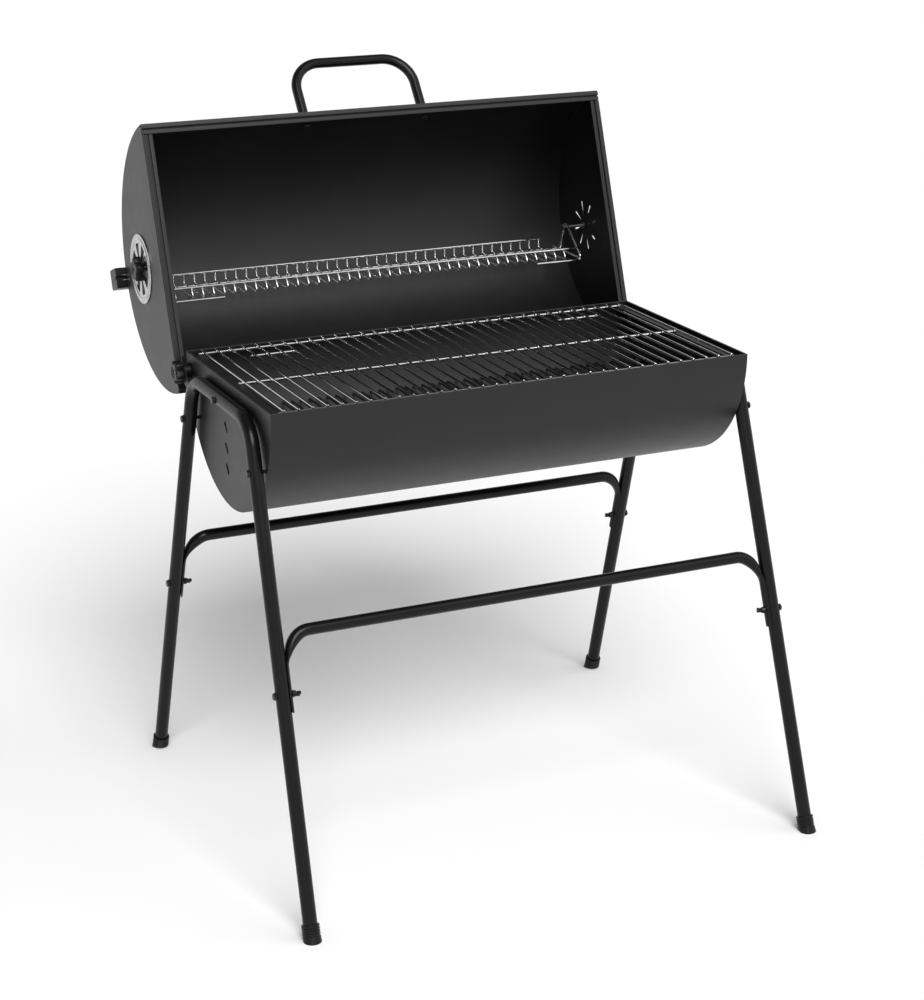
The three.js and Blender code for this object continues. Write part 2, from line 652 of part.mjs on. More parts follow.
// Bright U-shaped clip round the inner end of the grip's slot.
function gripClipGeometry() {
  const slotHalf = GRIP.slotWidth / 2;
  const end = gripInner - GRIP.length + GRIP.slotLength;
  const inner = slotHalf + 0.2;
  const outer = slotHalf + 1.8;
  const shape = new THREE.Shape(outline([
    [end - 9, -outer], [end + 2.2, -outer], [end + 2.2, outer], [end - 9, outer],
    [end - 9, inner], [end + 0.5, inner], [end + 0.5, -inner], [end - 9, -inner],
  ]));
  const clip = new THREE.ExtrudeGeometry(shape, { depth: 1, bevelEnabled: false });
  return clip.translate(0, 0, gripCentre - GRIP.side / 2 - 1 - CLEARANCE);
}

// ---- vents ----

function ventDiscGeometry(side) {
  const x = LID.halfLength + CLEARANCE;
  const disc = plateX(ringShape(VENT.radius, 32, KNOB.bore), x, VENT.thickness);
  const ring = new THREE.Shape(arcPoints(0, 0, VENT_RING.outer, 0, 345, 23));
  ring.holes.push(new THREE.Path(arcPoints(0, 0, VENT_RING.inner, 0, 345, 23)));
  const bead = plateX(ring, x + VENT.thickness / 2, VENT.thickness / 2 + VENT_RING.height);
  const raised = joined([disc, bead]).translate(0, 0, VENT.height);
  return onSide(cut(raised, ventSlotTools(x, VENT_SLOT.discHalfWidth)), side);
}

function ventKnobGeometry(side) {
  const x = LID.halfLength + 2 * CLEARANCE + VENT.thickness;
  const knob = plateX(lobedShape({ ...VENT_KNOB, bore: KNOB.bore }), x, VENT_KNOB.depth);
  return onSide(knob.translate(0, 0, VENT.height), side);
}

// Bolt through the lid end: the vent turns on its outer part and the rack hangs on its inner part.
function ventBoltGeometry(side) {
  const face = LID.halfLength - SHEET - CLEARANCE;
  const tip = LID.halfLength + VENT_KNOB.depth - 2;
  const shank = rodX(BOLT.radius, PEG_END, tip, 0, VENT.height, 8);
  const collar = hexX(NUT.radius, face - NUT.height, face, 0, VENT.height);
  const retainer = hexX(NUT.radius, PEG_END, PEG_END + 3, 0, VENT.height);
  return onSide(joined([shank, collar, retainer]), side);
}

// ---- hinge ----

function hingeBoltGeometry(side) {
  const face = BOWL.halfLength - SHEET - CLEARANCE;
  const tip = LID.halfLength + HINGE_KNOB.depth - 2;
  const head = hexX(7.5, face - 5, face, 0, 0);
  return onSide(joined([head, rodX(HINGE.radius, face - 1, tip, 0, 0)]), side);
}

function hingeSpacerGeometry(side) {
  const from = BOWL.halfLength + CLEARANCE;
  const depth = LID.halfLength - SHEET - CLEARANCE - from;
  return onSide(plateX(ringShape(13, 16, HINGE.hole), from, depth), side);
}

function hingeKnobGeometry(side) {
  const knob = { ...HINGE_KNOB, bore: HINGE.hole };
  return onSide(plateX(lobedShape(knob), LID.halfLength + CLEARANCE, HINGE_KNOB.depth), side);
}

// ---- warming rack, drawn about its hanging axis ----

const rackBar = (x0, x1, y, z) => squareX(RACK.barRadius, x0, x1, y, z);

// A straight wire between two points of one YZ plane.
function wireInPlane(x, from, to, radius) {
  const length = Math.hypot(to[0] - from[0], to[1] - from[1]);
  const wire = new THREE.CylinderGeometry(radius, radius, length + radius, 4);
  wire.rotateY(Math.PI / 4);
  wire.rotateX(Math.atan2(to[1] - from[1], to[0] - from[0]));
  return wire.translate(x, (from[0] + to[0]) / 2, (from[1] + to[1]) / 2);
}

// One bent tray wire: a lip leaning back at the front, the floor, and an upright in the rear fence.
function trayWire(x) {
  const half = RACK.wireRadius * FLAT;
  const shape = new THREE.Shape(outline([
    [TRAY.front - half, TRAY.floor - half], [TRAY.rear + half, TRAY.floor - half],
    [TRAY.rear + half, TRAY.fenceTop], [TRAY.rear - half, TRAY.fenceTop],
    [TRAY.rear - half, TRAY.floor + half], [TRAY.front + 1.4 * half, TRAY.floor + half],
    [TRAY.lipY + half, TRAY.lipZ], [TRAY.lipY - half, TRAY.lipZ], [TRAY.front - half, TRAY.floor + half],
  ]));
  return plateX(shape, x - half, 2 * half);
}

// Triangular side arm that hangs over the peg, with its feet on the tray floor.
function sideArm(side) {
  const x = side * RACK.armX;
  const radius = RACK.barRadius;
  const top = BOLT.radius + radius + CLEARANCE;
  return [
    wireInPlane(x, [-5, top], [5, top], radius),
    wireInPlane(x, [-5, top], [TRAY.front, TRAY.floor], radius),
    wireInPlane(x, [5, top], [TRAY.armFoot, TRAY.floor], radius),
    wireInPlane(x, [TRAY.front, TRAY.floor], [TRAY.rear, TRAY.floor], radius),
  ];
}

function warmingRackGeometry() {
  const wireX = (i) => (i - (RACK.wires - 1) / 2) * RACK.pitch;
  const fence = wireX(RACK.wires - 1) + STRAP_OVERHANG;
  const pieces = [...sideArm(-1), ...sideArm(1)];
  for (let i = 0; i < RACK.wires; i += 1) pieces.push(trayWire(wireX(i)));
  pieces.push(rackBar(-RACK.armX - 2, RACK.armX + 2, TRAY.lipY, TRAY.lipZ));
  pieces.push(rackBar(-fence, fence, TRAY.rear, TRAY.fenceTop));
  const below = TRAY.floor - FLAT * (RACK.wireRadius + RACK.barRadius) + WELD;
  pieces.push(rackBar(-RACK.armX - 2, RACK.armX + 2, TRAY.rear - 8, below));
  for (const side of [-1, 1]) {
    const from = side * (RACK.armX + 2);
    const to = side * (wireX(RACK.wires - 1) - RACK.strapGaps * RACK.pitch);
    pieces.push(rackBar(Math.min(from, to), Math.max(from, to), TRAY.front + 4, below));
  }
  return joined(pieces);
}

// ---- assembly ----

function mesh(name, geometry, material) {
  const part = new THREE.Mesh(geometry, material);
  part.name = name;
  return part;
}

function group(y, z, children, tilt = 0) {
  const holder = new THREE.Group();
  holder.position.set(0, y, z);
  holder.rotation.x = THREE.MathUtils.degToRad(tilt);
  holder.add(...children);
  return holder;
}

const SIDES = [['left', -1], ['right', 1]];
const FACINGS = [['front', -1], ['rear', 1]];

function bowlParts() {
  return [
    mesh('bowl_shell', bowlShellGeometry(), blackEnamel),
    ...SIDES.map(([name, side]) => mesh(`bowl_end_${name}`, bowlEndGeometry(side), blackEnamel)),
  ];
}

function standParts() {
  const parts = [];
  for (const [name, side] of SIDES) {
    parts.push(mesh(`leg_frame_${name}`, legFrameGeometry(side), blackTube));
    for (const [end, facing] of FACINGS) {
      parts.push(mesh(`foot_cap_${end}_${name}`, footCapGeometry(side, facing), blackPlastic));
      parts.push(mesh(`crossbar_bolt_${end}_${name}`, crossbarBoltGeometry(side, facing), darkSteel));
      parts.push(mesh(`wing_nut_${end}_${name}`, wingNutGeometry(side, facing), darkSteel));
    }
    frameBoltSpots().forEach((spot, i) => {
      const place = ['top', 'front', 'rear'][i];
      parts.push(mesh(`frame_bolt_${place}_${name}`, frameBoltGeometry(side, spot), darkSteel));
      parts.push(mesh(`frame_nut_${place}_${name}`, frameNutGeometry(side, spot), zinc));
    });
  }
  for (const [end, facing] of FACINGS) {
    parts.push(mesh(`crossbar_${end}`, crossbarGeometry(facing), blackTube));
  }
  return parts;
}

function hingeParts() {
  return SIDES.flatMap(([name, side]) => [
    mesh(`hinge_bolt_${name}`, hingeBoltGeometry(side), zinc),
    mesh(`hinge_spacer_${name}`, hingeSpacerGeometry(side), blackPlastic),
    mesh(`hinge_knob_${name}`, hingeKnobGeometry(side), blackPlastic),
  ]);
}

function lidParts() {
  return [
    mesh('lid_shell', lidShellGeometry(), blackEnamel),
    mesh('lid_handle', lidHandleGeometry(), blackTube),
    mesh('lid_grip', gripGeometry(), blackPlastic),
    mesh('grip_bracket', bracketGeometry(), blackEnamel),
    mesh('grip_screw', gripScrewGeometry(), zinc),
    mesh('grip_clip', gripClipGeometry(), chrome),
    ...SIDES.flatMap(([name, side]) => [
      mesh(`lid_end_${name}`, lidEndGeometry(side), blackEnamel),
      mesh(`handle_screw_${name}`, handleScrewGeometry(side * HANDLE.halfWidth), zinc),
      mesh(`vent_bolt_${name}`, ventBoltGeometry(side), zinc),
      mesh(`vent_disc_${name}`, ventDiscGeometry(side), chrome),
      mesh(`vent_knob_${name}`, ventKnobGeometry(side), blackPlastic),
    ]),
  ];
}

// The lid turns about the hinge bolts, and the rack hangs level from the vent bolts.
function openLid() {
  const pivot = pivotInLid();
  const rack = group(0, VENT.height, [mesh('warming_rack', warmingRackGeometry(), chrome)], LID.openAngle);
  const closedLid = group(-pivot.y, -pivot.z, [...lidParts(), rack]);
  return group(HINGE.back, -HINGE.below, [closedLid], -LID.openAngle);
}

function barbecue() {
  const grates = [
    mesh('cooking_grate', cookingGrateGeometry(), chrome),
    mesh('charcoal_grate', charcoalGrateGeometry(), zinc),
    ...SIDES.map(([name, side]) => mesh(`grate_ledge_${name}`, ledgeGeometry(side), blackEnamel)),
  ];
  const hinges = group(HINGE.back, -HINGE.below, hingeParts());
  const barrel = group(BOWL.y, BOWL.rimHeight, [...bowlParts(), hinges, openLid()]);
  const grateFrame = group(BOWL.y, 0, grates);
  const whole = group(0, 0, [barrel, grateFrame, ...standParts()]);
  const box = new THREE.Box3().setFromObject(whole, true);
  const centre = box.getCenter(new THREE.Vector3());
  whole.position.set(-centre.x, -centre.y, -box.min.z);
  return whole;
}

export default barbecue();
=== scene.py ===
"""Looks of a half-barrel charcoal barbecue on a bent-tube stand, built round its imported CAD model.

Everything is in metres in the CAD's own frame: X along the barrel, -Y the front, +Z up.
The lid's pieces are drawn closed, about the middle of the lid's open face, and then laid open.
"""

import json
import math

import bmesh
import bpy
from mathutils import Matrix, Vector


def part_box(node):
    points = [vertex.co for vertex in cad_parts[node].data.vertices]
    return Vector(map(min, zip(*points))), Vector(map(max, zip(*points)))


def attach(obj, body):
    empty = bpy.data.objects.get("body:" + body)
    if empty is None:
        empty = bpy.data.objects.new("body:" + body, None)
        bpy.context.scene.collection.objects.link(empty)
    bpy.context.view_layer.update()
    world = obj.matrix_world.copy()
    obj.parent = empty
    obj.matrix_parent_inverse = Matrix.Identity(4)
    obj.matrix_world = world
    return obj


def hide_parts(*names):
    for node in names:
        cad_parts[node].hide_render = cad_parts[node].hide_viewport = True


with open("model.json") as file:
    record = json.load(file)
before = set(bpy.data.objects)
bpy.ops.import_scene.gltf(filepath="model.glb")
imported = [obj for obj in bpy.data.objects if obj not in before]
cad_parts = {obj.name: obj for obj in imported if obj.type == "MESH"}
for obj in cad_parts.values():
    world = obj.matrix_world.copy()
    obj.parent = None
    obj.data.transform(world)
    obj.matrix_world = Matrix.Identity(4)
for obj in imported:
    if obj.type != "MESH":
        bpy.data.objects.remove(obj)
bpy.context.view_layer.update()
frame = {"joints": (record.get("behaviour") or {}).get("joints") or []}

# ---- driving dimensions, in metres ----

MM = 0.001
SHEET = 1.2 * MM
GAP = 0.3 * MM
WELD_DISTANCE = 0.01 * MM

# Edges sharper than these angles, in degrees, are shaded crisp.
PLATE_CREASE = 18
HEAD_CREASE = 25
WIRE_CREASE = 30
TUBE_CREASE = 40

LEG_FOOT = Vector((428 * MM, 381.5 * MM, 0))
LEG_TOP_X = 412 * MM
LEG_TOP_Z = 731.5 * MM
LEG_RADIUS = 11 * MM
LEG_WALL = 1.2 * MM
LEG_BEND = 55 * MM
LEG_SPLAY = 0.337
FOOT_SOLE = 6 * MM
FRAME_BOLT_Z = 660 * MM
BOLT_RADIUS = 3 * MM
BOLT_HEAD = 3.2 * MM
BOLT_THREAD = 1 * MM
HEX_ACROSS = 10.2 * MM
NUT_HEIGHT = 5 * MM

AIR_SLOT_LENGTH = 19 * MM
AIR_SLOT_WIDTH = 8.5 * MM
AIR_SLOT_Y = 10 * MM
AIR_SLOT_DROPS = (76 * MM, 110 * MM, 144 * MM)
AIR_SLOT_LEAN = math.radians(36)

CROSSBAR_RADIUS = 9.5 * MM
CROSSBAR_Z = 432 * MM
CROSSBAR_END_Z = 320 * MM
CROSSBAR_BEND = 32 * MM
CROSSBAR_BOLT_Z = 346 * MM
CROSSBAR_WALL = 1 * MM
SADDLE_START = 421 * MM
SADDLE_END = 388 * MM
SADDLE_HALF = 1.8 * MM
SADDLE_RADIUS = LEG_RADIUS + GAP + SADDLE_HALF

LID_RADIUS = 219 * MM
LID_SEAT_GAP = 0.6 * MM
LIP_OUTER = 8 * MM
LIP_GROOVE = 2 * MM
LIP_GROOVE_DEPTH = 4 * MM
LIP_INNER = 6.5 * MM
LIP_STEP = 1 * MM
EAR_RADIUS = 15 * MM
HEEL_REACH = 45.6 * MM
HEEL_RADIUS = 5 * MM
HEEL_ANGLE = math.radians(-42.6)

VENT_HEIGHT = 120 * MM
VENT_RADIUS = 58 * MM
VENT_SLOTS = 8
VENT_SLOT_INNER = 14 * MM
VENT_SLOT_OUTER = 43 * MM
PLATE_SLOT_HALF = 2 * MM
DISC_SLOT_HALF = 9.5 * MM
DISC_THICKNESS = 1.5 * MM
DISC_BORE = 3.3 * MM
BEAD_RADIUS = 50 * MM
BEAD_HALF = 2 * MM
BEAD_RISE = 1.5 * MM
VENT_PIN_RADIUS = 3 * MM
VENT_PIN_START = 366 * MM

HINGE_PIN_RADIUS = 4 * MM
HINGE_BORE = 4.4 * MM
HINGE_SPACER_RADIUS = 13 * MM

HANDLE_RADIUS = 8.5 * MM
HANDLE_WALL = 1 * MM
HANDLE_HALF = 108 * MM
HANDLE_REACH = 335 * MM
HANDLE_BEND = 50 * MM
HANDLE_ANGLE = math.radians(18)

GRIP_X = -397 * MM
GRIP_LENGTH = 33.5 * MM
GRIP_HALF = 17.5 * MM
GRIP_HEIGHT = 239.5 * MM
GRIP_CORNER = 4 * MM
GRIP_SLOT_LENGTH = 19 * MM
GRIP_SLOT_HALF = 3 * MM
GRIP_SLOT_DEPTH = 5 * MM

GRATE_WIRES = 34
GRATE_PITCH = 22.8 * MM
GRATE_HALF_DEPTH = 195 * MM
GRATE_BAR_HALF = 383 * MM
GRATE_BARS = (-190 * MM, -8 * MM, 190 * MM)
GRATE_STRAP_Y = 142 * MM
FIRST_STRAP = 3
COAL_WIRES = 49
COAL_PITCH = 15.5 * MM
COAL_BAR_HALF = 384 * MM
COAL_BARS = (-120 * MM, 120 * MM)
WIRE_RADIUS = 2 * MM
BAR_RADIUS = 2.4 * MM
RACK_WIRES = 38
RACK_PITCH = 18.6 * MM
RACK_WIRE_RADIUS = 1.5 * MM
RACK_BAR_RADIUS = 2.1 * MM
STRAP_GAPS = 3
STRAP_OVERHANG = 4 * MM
WELD_SINK = 0.5 * MM
COAL_LEVEL = 660 * MM

CAMERA_AT = Vector((-1441.1, -3217.6, 1680.4)) * MM
CAMERA_TARGET = Vector((-10.2, 0, 512.6)) * MM
CAMERA_ROLL = math.radians(0.44)
CAMERA_LENS = 82.23
CAMERA_SENSOR = 36

WORLD_STRENGTH = 1.0
KEY_STRENGTH = 2.7
FILL_STRENGTH = 0.7

SIDES = (("left", -1), ("right", 1))
FACINGS = (("front", -1), ("rear", 1))


# ---- places read from the frame ----

def span(node):
    low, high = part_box(node)
    return low, high, (low + high) / 2


def joint_at(name):
    found = [joint for joint in frame["joints"] if joint["name"] == name]
    return Vector(found[0]["pos_m"])


BOWL_LOW, BOWL_HIGH, BOWL_MID = span("bowl_shell")
BOWL_HALF = BOWL_HIGH.x
BOWL_RADIUS = (BOWL_HIGH.y - BOWL_LOW.y) / 2
RIM = BOWL_HIGH.z
LID_HALF = span("lid_shell")[1].x
STAND_Y = (span("foot_cap_front_left")[2].y + span("foot_cap_rear_left")[2].y) / 2
HINGE = joint_at("lid_hinge")
RACK_AXIS = joint_at("rack_swing")

HINGE_IN_LID = Vector((0, HINGE.y - BOWL_MID.y, HINGE.z - RIM - LID_SEAT_GAP))
OPEN_ANGLE = math.radians(frame["joints"][0]["range_deg"][1])
LID_MATRIX = (
    Matrix.Translation((0, HINGE.y, HINGE.z))
    @ Matrix.Rotation(-OPEN_ANGLE, 4, "X")
    @ Matrix.Translation(-HINGE_IN_LID)
)
BOWL_MATRIX = Matrix.Translation((0, BOWL_MID.y, RIM))
STAND_MATRIX = Matrix.Translation((0, STAND_Y, 0))
RACK_MATRIX = Matrix.Translation((0, RACK_AXIS.y, RACK_AXIS.z))
HINGE_MATRIX = Matrix.Translation((0, HINGE.y, HINGE.z))


# ---- materials ----

class Nodes:
    """A short way to write a node tree."""

    def __init__(self, name):
        self.material = bpy.data.materials.new(name)
        self.material.use_nodes = True
        self.tree = self.material.node_tree
        self.shader = self.tree.nodes["Principled BSDF"]
        self.place = self.add("ShaderNodeTexCoord").outputs["Object"]

    def add(self, kind, **settings):
        node = self.tree.nodes.new(kind)
        for key, value in settings.items():
            setattr(node, key, value)
        return node

    def join(self, source, target):
        self.tree.links.new(source, target)

    def noise(self, scale, detail=3.0, roughness=0.55):
        node = self.add("ShaderNodeTexNoise")
        node.inputs["Scale"].default_value = scale
        node.inputs["Detail"].default_value = detail
        node.inputs["Roughness"].default_value = roughness
        self.join(self.place, node.inputs["Vector"])
        return node.outputs["Fac"]

    def remap(self, source, low, high, new_low, new_high):
        node = self.add("ShaderNodeMapRange")
        for key, value in zip(("From Min", "From Max", "To Min", "To Max"), (low, high, new_low, new_high)):
            node.inputs[key].default_value = value
        self.join(source, node.inputs["Value"])
        return node.outputs["Result"]

    def ramp(self, source, stops):
        node = self.add("ShaderNodeValToRGB")
        ramp = node.color_ramp
        while len(ramp.elements) < len(stops):
            ramp.elements.new(0.5)
        for element, (place, color) in zip(ramp.elements, stops):
            element.position = place
            element.color = (*color, 1)
        self.join(source, node.inputs["Fac"])
        return node.outputs["Color"]

    def blend(self, amount, first, second):
        node = self.add("ShaderNodeMix", data_type="RGBA")
        self.join(amount, node.inputs["Factor"])
        self.join(first, node.inputs["A"])
        self.join(second, node.inputs["B"])
        return node.outputs["Result"]

    def bump(self, source, distance, strength=1.0, under=None):
        node = self.add("ShaderNodeBump")
        node.inputs["Distance"].default_value = distance
        node.inputs["Strength"].default_value = strength
        self.join(source, node.inputs["Height"])
        if under is not None:
            self.join(under, node.inputs["Normal"])
        return node.outputs["Normal"]

    def finish(self, color=None, roughness=None, normal=None, metallic=0.0, index=1.5, shine=0.5):
        self.shader.inputs["Specular IOR Level"].default_value = shine
        self.shader.inputs["Metallic"].default_value = metallic
        self.shader.inputs["IOR"].default_value = index
        for name, socket in (("Base Color", color), ("Roughness", roughness), ("Normal", normal)):
            if socket is not None:
                self.join(socket, self.shader.inputs[name])
        return self.material


def powder_coat(name, dark, light, rough, shine=0.5, peel=0.00012):
    """Baked powder coat: orange peel, faint mottling, and soft handling marks that change the gloss."""
    n = Nodes(name)
    mottle = n.noise(9, 4, 0.6)
    marks = n.noise(38, 6, 0.7)
    color = n.ramp(mottle, ((0.3, dark), (0.72, light)))
    gloss = n.remap(n.blend(n.noise(3.5), mottle, marks), 0.3, 0.75, rough[0], rough[1])
    grains = n.bump(n.noise(2600, 1, 0.4), 0.00003, 0.6)
    normal = n.bump(n.noise(520, 2, 0.5), peel, 0.55, grains)
    return n.finish(color, gloss, normal, shine=shine)


def chrome_wire(name, dark, light, rough):
    """Plated wire: bright, with draw lines and slightly duller patches."""
    n = Nodes(name)
    patches = n.noise(60, 4, 0.6)
    color = n.ramp(patches, ((0.25, dark), (0.7, light)))
    gloss = n.remap(n.noise(240, 3), 0.3, 0.75, rough[0], rough[1])
    normal = n.bump(n.noise(500, 2), 0.00002, 0.15)
    return n.finish(color, gloss, normal, metallic=1.0)


def moulded_plastic(name, dark, light, rough):
    n = Nodes(name)
    color = n.ramp(n.noise(70, 5), ((0.3, dark), (0.75, light)))
    gloss = n.remap(n.noise(150, 4), 0.3, 0.7, rough[0], rough[1])
    grain = n.bump(n.noise(3200, 2, 0.6), 0.00005, 0.7)
    return n.finish(color, gloss, grain, index=1.47, shine=0.25)


def zinc_plate(name, dark, light, rough):
    n = Nodes(name)
    spangle = n.add("ShaderNodeTexVoronoi")
    spangle.inputs["Scale"].default_value = 420
    n.join(n.place, spangle.inputs["Vector"])
    color = n.ramp(spangle.outputs["Distance"], ((0.05, dark), (0.75, light)))
    gloss = n.remap(n.noise(300, 3), 0.3, 0.7, rough[0], rough[1])
    normal = n.bump(n.noise(1400, 2), 0.00005, 0.5)
    return n.finish(color, gloss, normal, metallic=1.0)


MATERIALS = {
    "shell": powder_coat("shell_coat", (0.0032, 0.0032, 0.0034), (0.0055, 0.0055, 0.0058), (0.38, 0.48), 0.4),
    "tube": powder_coat("tube_coat", (0.003, 0.003, 0.0032), (0.0045, 0.0045, 0.0048), (0.22, 0.31), 0.2),
    "chrome": chrome_wire("chrome_plate", (0.60, 0.61, 0.62), (0.80, 0.80, 0.80), (0.05, 0.14)),
    "disc": chrome_wire("vent_plate", (0.30, 0.305, 0.31), (0.58, 0.58, 0.58), (0.18, 0.34)),
    "coals": chrome_wire("dull_wire", (0.05, 0.05, 0.052), (0.10, 0.10, 0.10), (0.3, 0.46)),
    "plastic": moulded_plastic(
        "moulded_plastic", (0.003, 0.003, 0.0033), (0.005, 0.005, 0.0053), (0.3, 0.45),
    ),
    "zinc": zinc_plate("zinc_plate", (0.20, 0.205, 0.21), (0.34, 0.34, 0.34), (0.25, 0.42)),
    "fastener": powder_coat(
        "dark_fastener", (0.004, 0.004, 0.0045), (0.007, 0.007, 0.0075), (0.3, 0.45), 0.4,
    ),
}


# ---- mesh building ----

def in_scene(name, data):
    """A new object in the scene, holding a mesh, curve, lamp or camera."""
    holder = bpy.data.objects.new(name, data)
    bpy.context.scene.collection.objects.link(holder)
    return holder


def new_object(name, vertices, faces, smooth_below=None):
    mesh = bpy.data.meshes.new(name)
    mesh.from_pydata([tuple(v) for v in vertices], [], faces)
    mesh.validate()
    mesh.update()
    piece = in_scene(name, mesh)
    if smooth_below:
        smooth(piece, smooth_below)
    return piece


def smooth(piece, degrees):
    """Smooth shading, with edges sharper than the angle kept crisp."""
    limit = math.radians(degrees)
    mesh = piece.data
    mesh.polygons.foreach_set("use_smooth", [True] * len(mesh.polygons))
    mesh.set_sharp_from_angle(angle=limit)
    return piece


def dress(piece, look, body, node, matrix):
    """Places a finished piece, gives it its material and its body, and hides the CAD node it stands for."""
    piece.data.transform(matrix)
    piece.data.materials.clear()
    piece.data.materials.append(MATERIALS[look])
    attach(piece, body)
    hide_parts(node)


def merged(name, pieces):
    """Joins several objects into one, keeping each piece's own closed shell."""
    vertices, faces = [], []
    for piece in pieces:
        start = len(vertices)
        vertices += [piece.matrix_world @ v.co for v in piece.data.vertices]
        faces += [[start + i for i in polygon.vertices] for polygon in piece.data.polygons]
        bpy.data.objects.remove(piece)
    return new_object(name, vertices, faces)


def evaluated(piece):
    """The plain mesh that a piece's curve or modifiers make."""
    bpy.context.view_layer.update()
    graph = bpy.context.evaluated_depsgraph_get()
    return bpy.data.meshes.new_from_object(piece.evaluated_get(graph))


def sided(piece, side):
    """Mirrors a piece that was drawn for the right when it belongs on the left."""
    if side < 0:
        piece.data.transform(Matrix.Scale(-1, 4, (1, 0, 0)))
        piece.data.flip_normals()
    return piece


def crosswise(piece):
    """Swaps X and Y, so that a sheet drawn along X runs from front to back."""
    piece.data.transform(Matrix(((0, 1, 0, 0), (1, 0, 0, 0), (0, 0, 1, 0), (0, 0, 0, 1))))
    piece.data.flip_normals()
    return piece


def turns(sides):
    """Equal steps round a full circle."""
    return [2 * math.pi * k / sides for k in range(sides)]


def quads(rings, sides, closed=False):
    """Faces from each ring of points to the next, and from the last to the first if closed."""
    faces = []
    for i in range(rings if closed else rings - 1):
        here, ahead = i * sides, (i + 1) % rings * sides
        for k in range(sides):
            after = (k + 1) % sides
            faces.append((here + k, here + after, ahead + after, ahead + k))
    return faces


def arc(y, z, radius, start, end, steps):
    return [
        (y + radius * math.cos(start + (end - start) * i / steps),
         z + radius * math.sin(start + (end - start) * i / steps))
        for i in range(steps + 1)
    ]


def circle(y, z, radius, steps):
    return arc(y, z, radius, 0, 2 * math.pi * (steps - 1) / steps, steps - 1)


def extruded(name, outline, x0, x1, holes=(), bevel=0.0):
    """A plate in the YZ plane from x0 to x1, with holes and rounded edges."""
    curve = bpy.data.curves.new(name, "CURVE")
    curve.dimensions = "2D"
    curve.fill_mode = "BOTH"
    curve.extrude = abs(x1 - x0) / 2 - bevel
    curve.bevel_depth = bevel
    curve.bevel_resolution = 1 if bevel else 0
    curve.offset = -bevel
    for ring in (outline, *holes):
        spline = curve.splines.new("POLY")
        spline.points.add(len(ring) - 1)
        for point, (y, z) in zip(spline.points, ring):
            point.co = (y, z, 0, 1)
        spline.use_cyclic_u = True
    holder = in_scene(name, curve)
    mesh = evaluated(holder)
    bpy.data.objects.remove(holder)
    upright = Matrix(((0, 0, 1, (x0 + x1) / 2), (1, 0, 0, 0), (0, 1, 0, 0), (0, 0, 0, 1)))
    mesh.transform(upright)
    return smooth(welded(in_scene(name, mesh)), PLATE_CREASE)


def welded(piece):
    """Merges doubled points and turns every face outwards."""
    work = bmesh.new()
    work.from_mesh(piece.data)
    bmesh.ops.remove_doubles(work, verts=work.verts, dist=WELD_DISTANCE)
    bmesh.ops.dissolve_degenerate(work, edges=work.edges, dist=WELD_DISTANCE)
    bmesh.ops.recalc_face_normals(work, faces=work.faces)
    work.to_mesh(piece.data)
    work.free()
    return piece


def stations(corners, bend, steps):
    """Points of a line through the corners, with each inner corner rounded."""
    points = [Vector(corners[0])]
    for before, corner, after in zip(corners, corners[1:], corners[2:]):
        into = (Vector(corner) - Vector(before)).normalized()
        away = (Vector(after) - Vector(corner)).normalized()
        turn = into.angle(away)
        inward = (away - into * away.dot(into)).normalized()
        start = Vector(corner) - into * bend * math.tan(turn / 2)
        centre = start + inward * bend
        for i in range(steps + 1):
            angle = turn * i / steps
            points.append(centre - inward * bend * math.cos(angle) + into * bend * math.sin(angle))
    points.append(Vector(corners[-1]))
    return points


def sweep(name, points, radius, sides=24, wall=0.0, round_ends=0.0):
    """A round bar or an open-ended tube along a line of points."""
    points = [Vector(p) for p in points]
    tangents = []
    for i in range(len(points)):
        before = points[max(i - 1, 0)]
        after = points[min(i + 1, len(points) - 1)]
        here = points[i]
        arriving = (here - before).normalized() if i else (after - here).normalized()
        leaving = (after - here).normalized() if i < len(points) - 1 else arriving
        tangents.append((arriving + leaving).normalized())
    side = tangents[0].orthogonal().normalized()
    rings = []

    def ring(centre, tangent, reach):
        other = tangent.cross(side).normalized()
        return [
            centre + (side * math.cos(turn) + other * math.sin(turn)) * reach
            for turn in turns(sides)
        ]

    last = len(points) - 1
    for i, (point, tangent) in enumerate(zip(points, tangents)):
        side = (side - tangent * side.dot(tangent)).normalized()
        if round_ends and i == 0:
            rings.append(ring(point, tangent, radius - round_ends))
            rings.append(ring(point + tangent * round_ends, tangent, radius))
        elif round_ends and i == last:
            rings.append(ring(point - tangent * round_ends, tangent, radius))
            rings.append(ring(point, tangent, radius - round_ends))
        else:
            rings.append(ring(point, tangent, radius))
    if wall:
        inner = []
        side = tangents[0].orthogonal().normalized()
        for point, tangent in zip(points, tangents):
            side = (side - tangent * side.dot(tangent)).normalized()
            inner.append(ring(point, tangent, radius - wall))
        rings += inner[::-1]
    vertices = [v for one in rings for v in one]
    faces = quads(len(rings), sides, closed=bool(wall))
    if not wall:
        end = (len(rings) - 1) * sides
        faces.append(tuple(range(sides))[::-1])
        faces.append(tuple(end + k for k in range(sides)))
    return new_object(name, vertices, faces, TUBE_CREASE)


def lathe(name, profile, sides=32, smooth_below=35):
    """Turns a profile of (radius, height) about Z. It starts and ends on the axis or closes on itself."""
    from_axis = profile[0][0] < WELD_DISTANCE
    rows = profile[1:-1] if from_axis else profile
    vertices = [(r * math.cos(turn), r * math.sin(turn), z) for r, z in rows for turn in turns(sides)]
    faces = quads(len(rows), sides, closed=not from_axis)
    if from_axis:
        low, high = len(vertices), len(vertices) + 1
        vertices += [(0, 0, profile[0][1]), (0, 0, profile[-1][1])]
        end = (len(rows) - 1) * sides
        for k in range(sides):
            faces.append(((k + 1) % sides, k, low))
            faces.append((end + k, end + (k + 1) % sides, high))
    return smooth(welded(new_object(name, vertices, faces)), smooth_below)


ALONG_X = Matrix.Rotation(math.radians(90), 4, "Y")


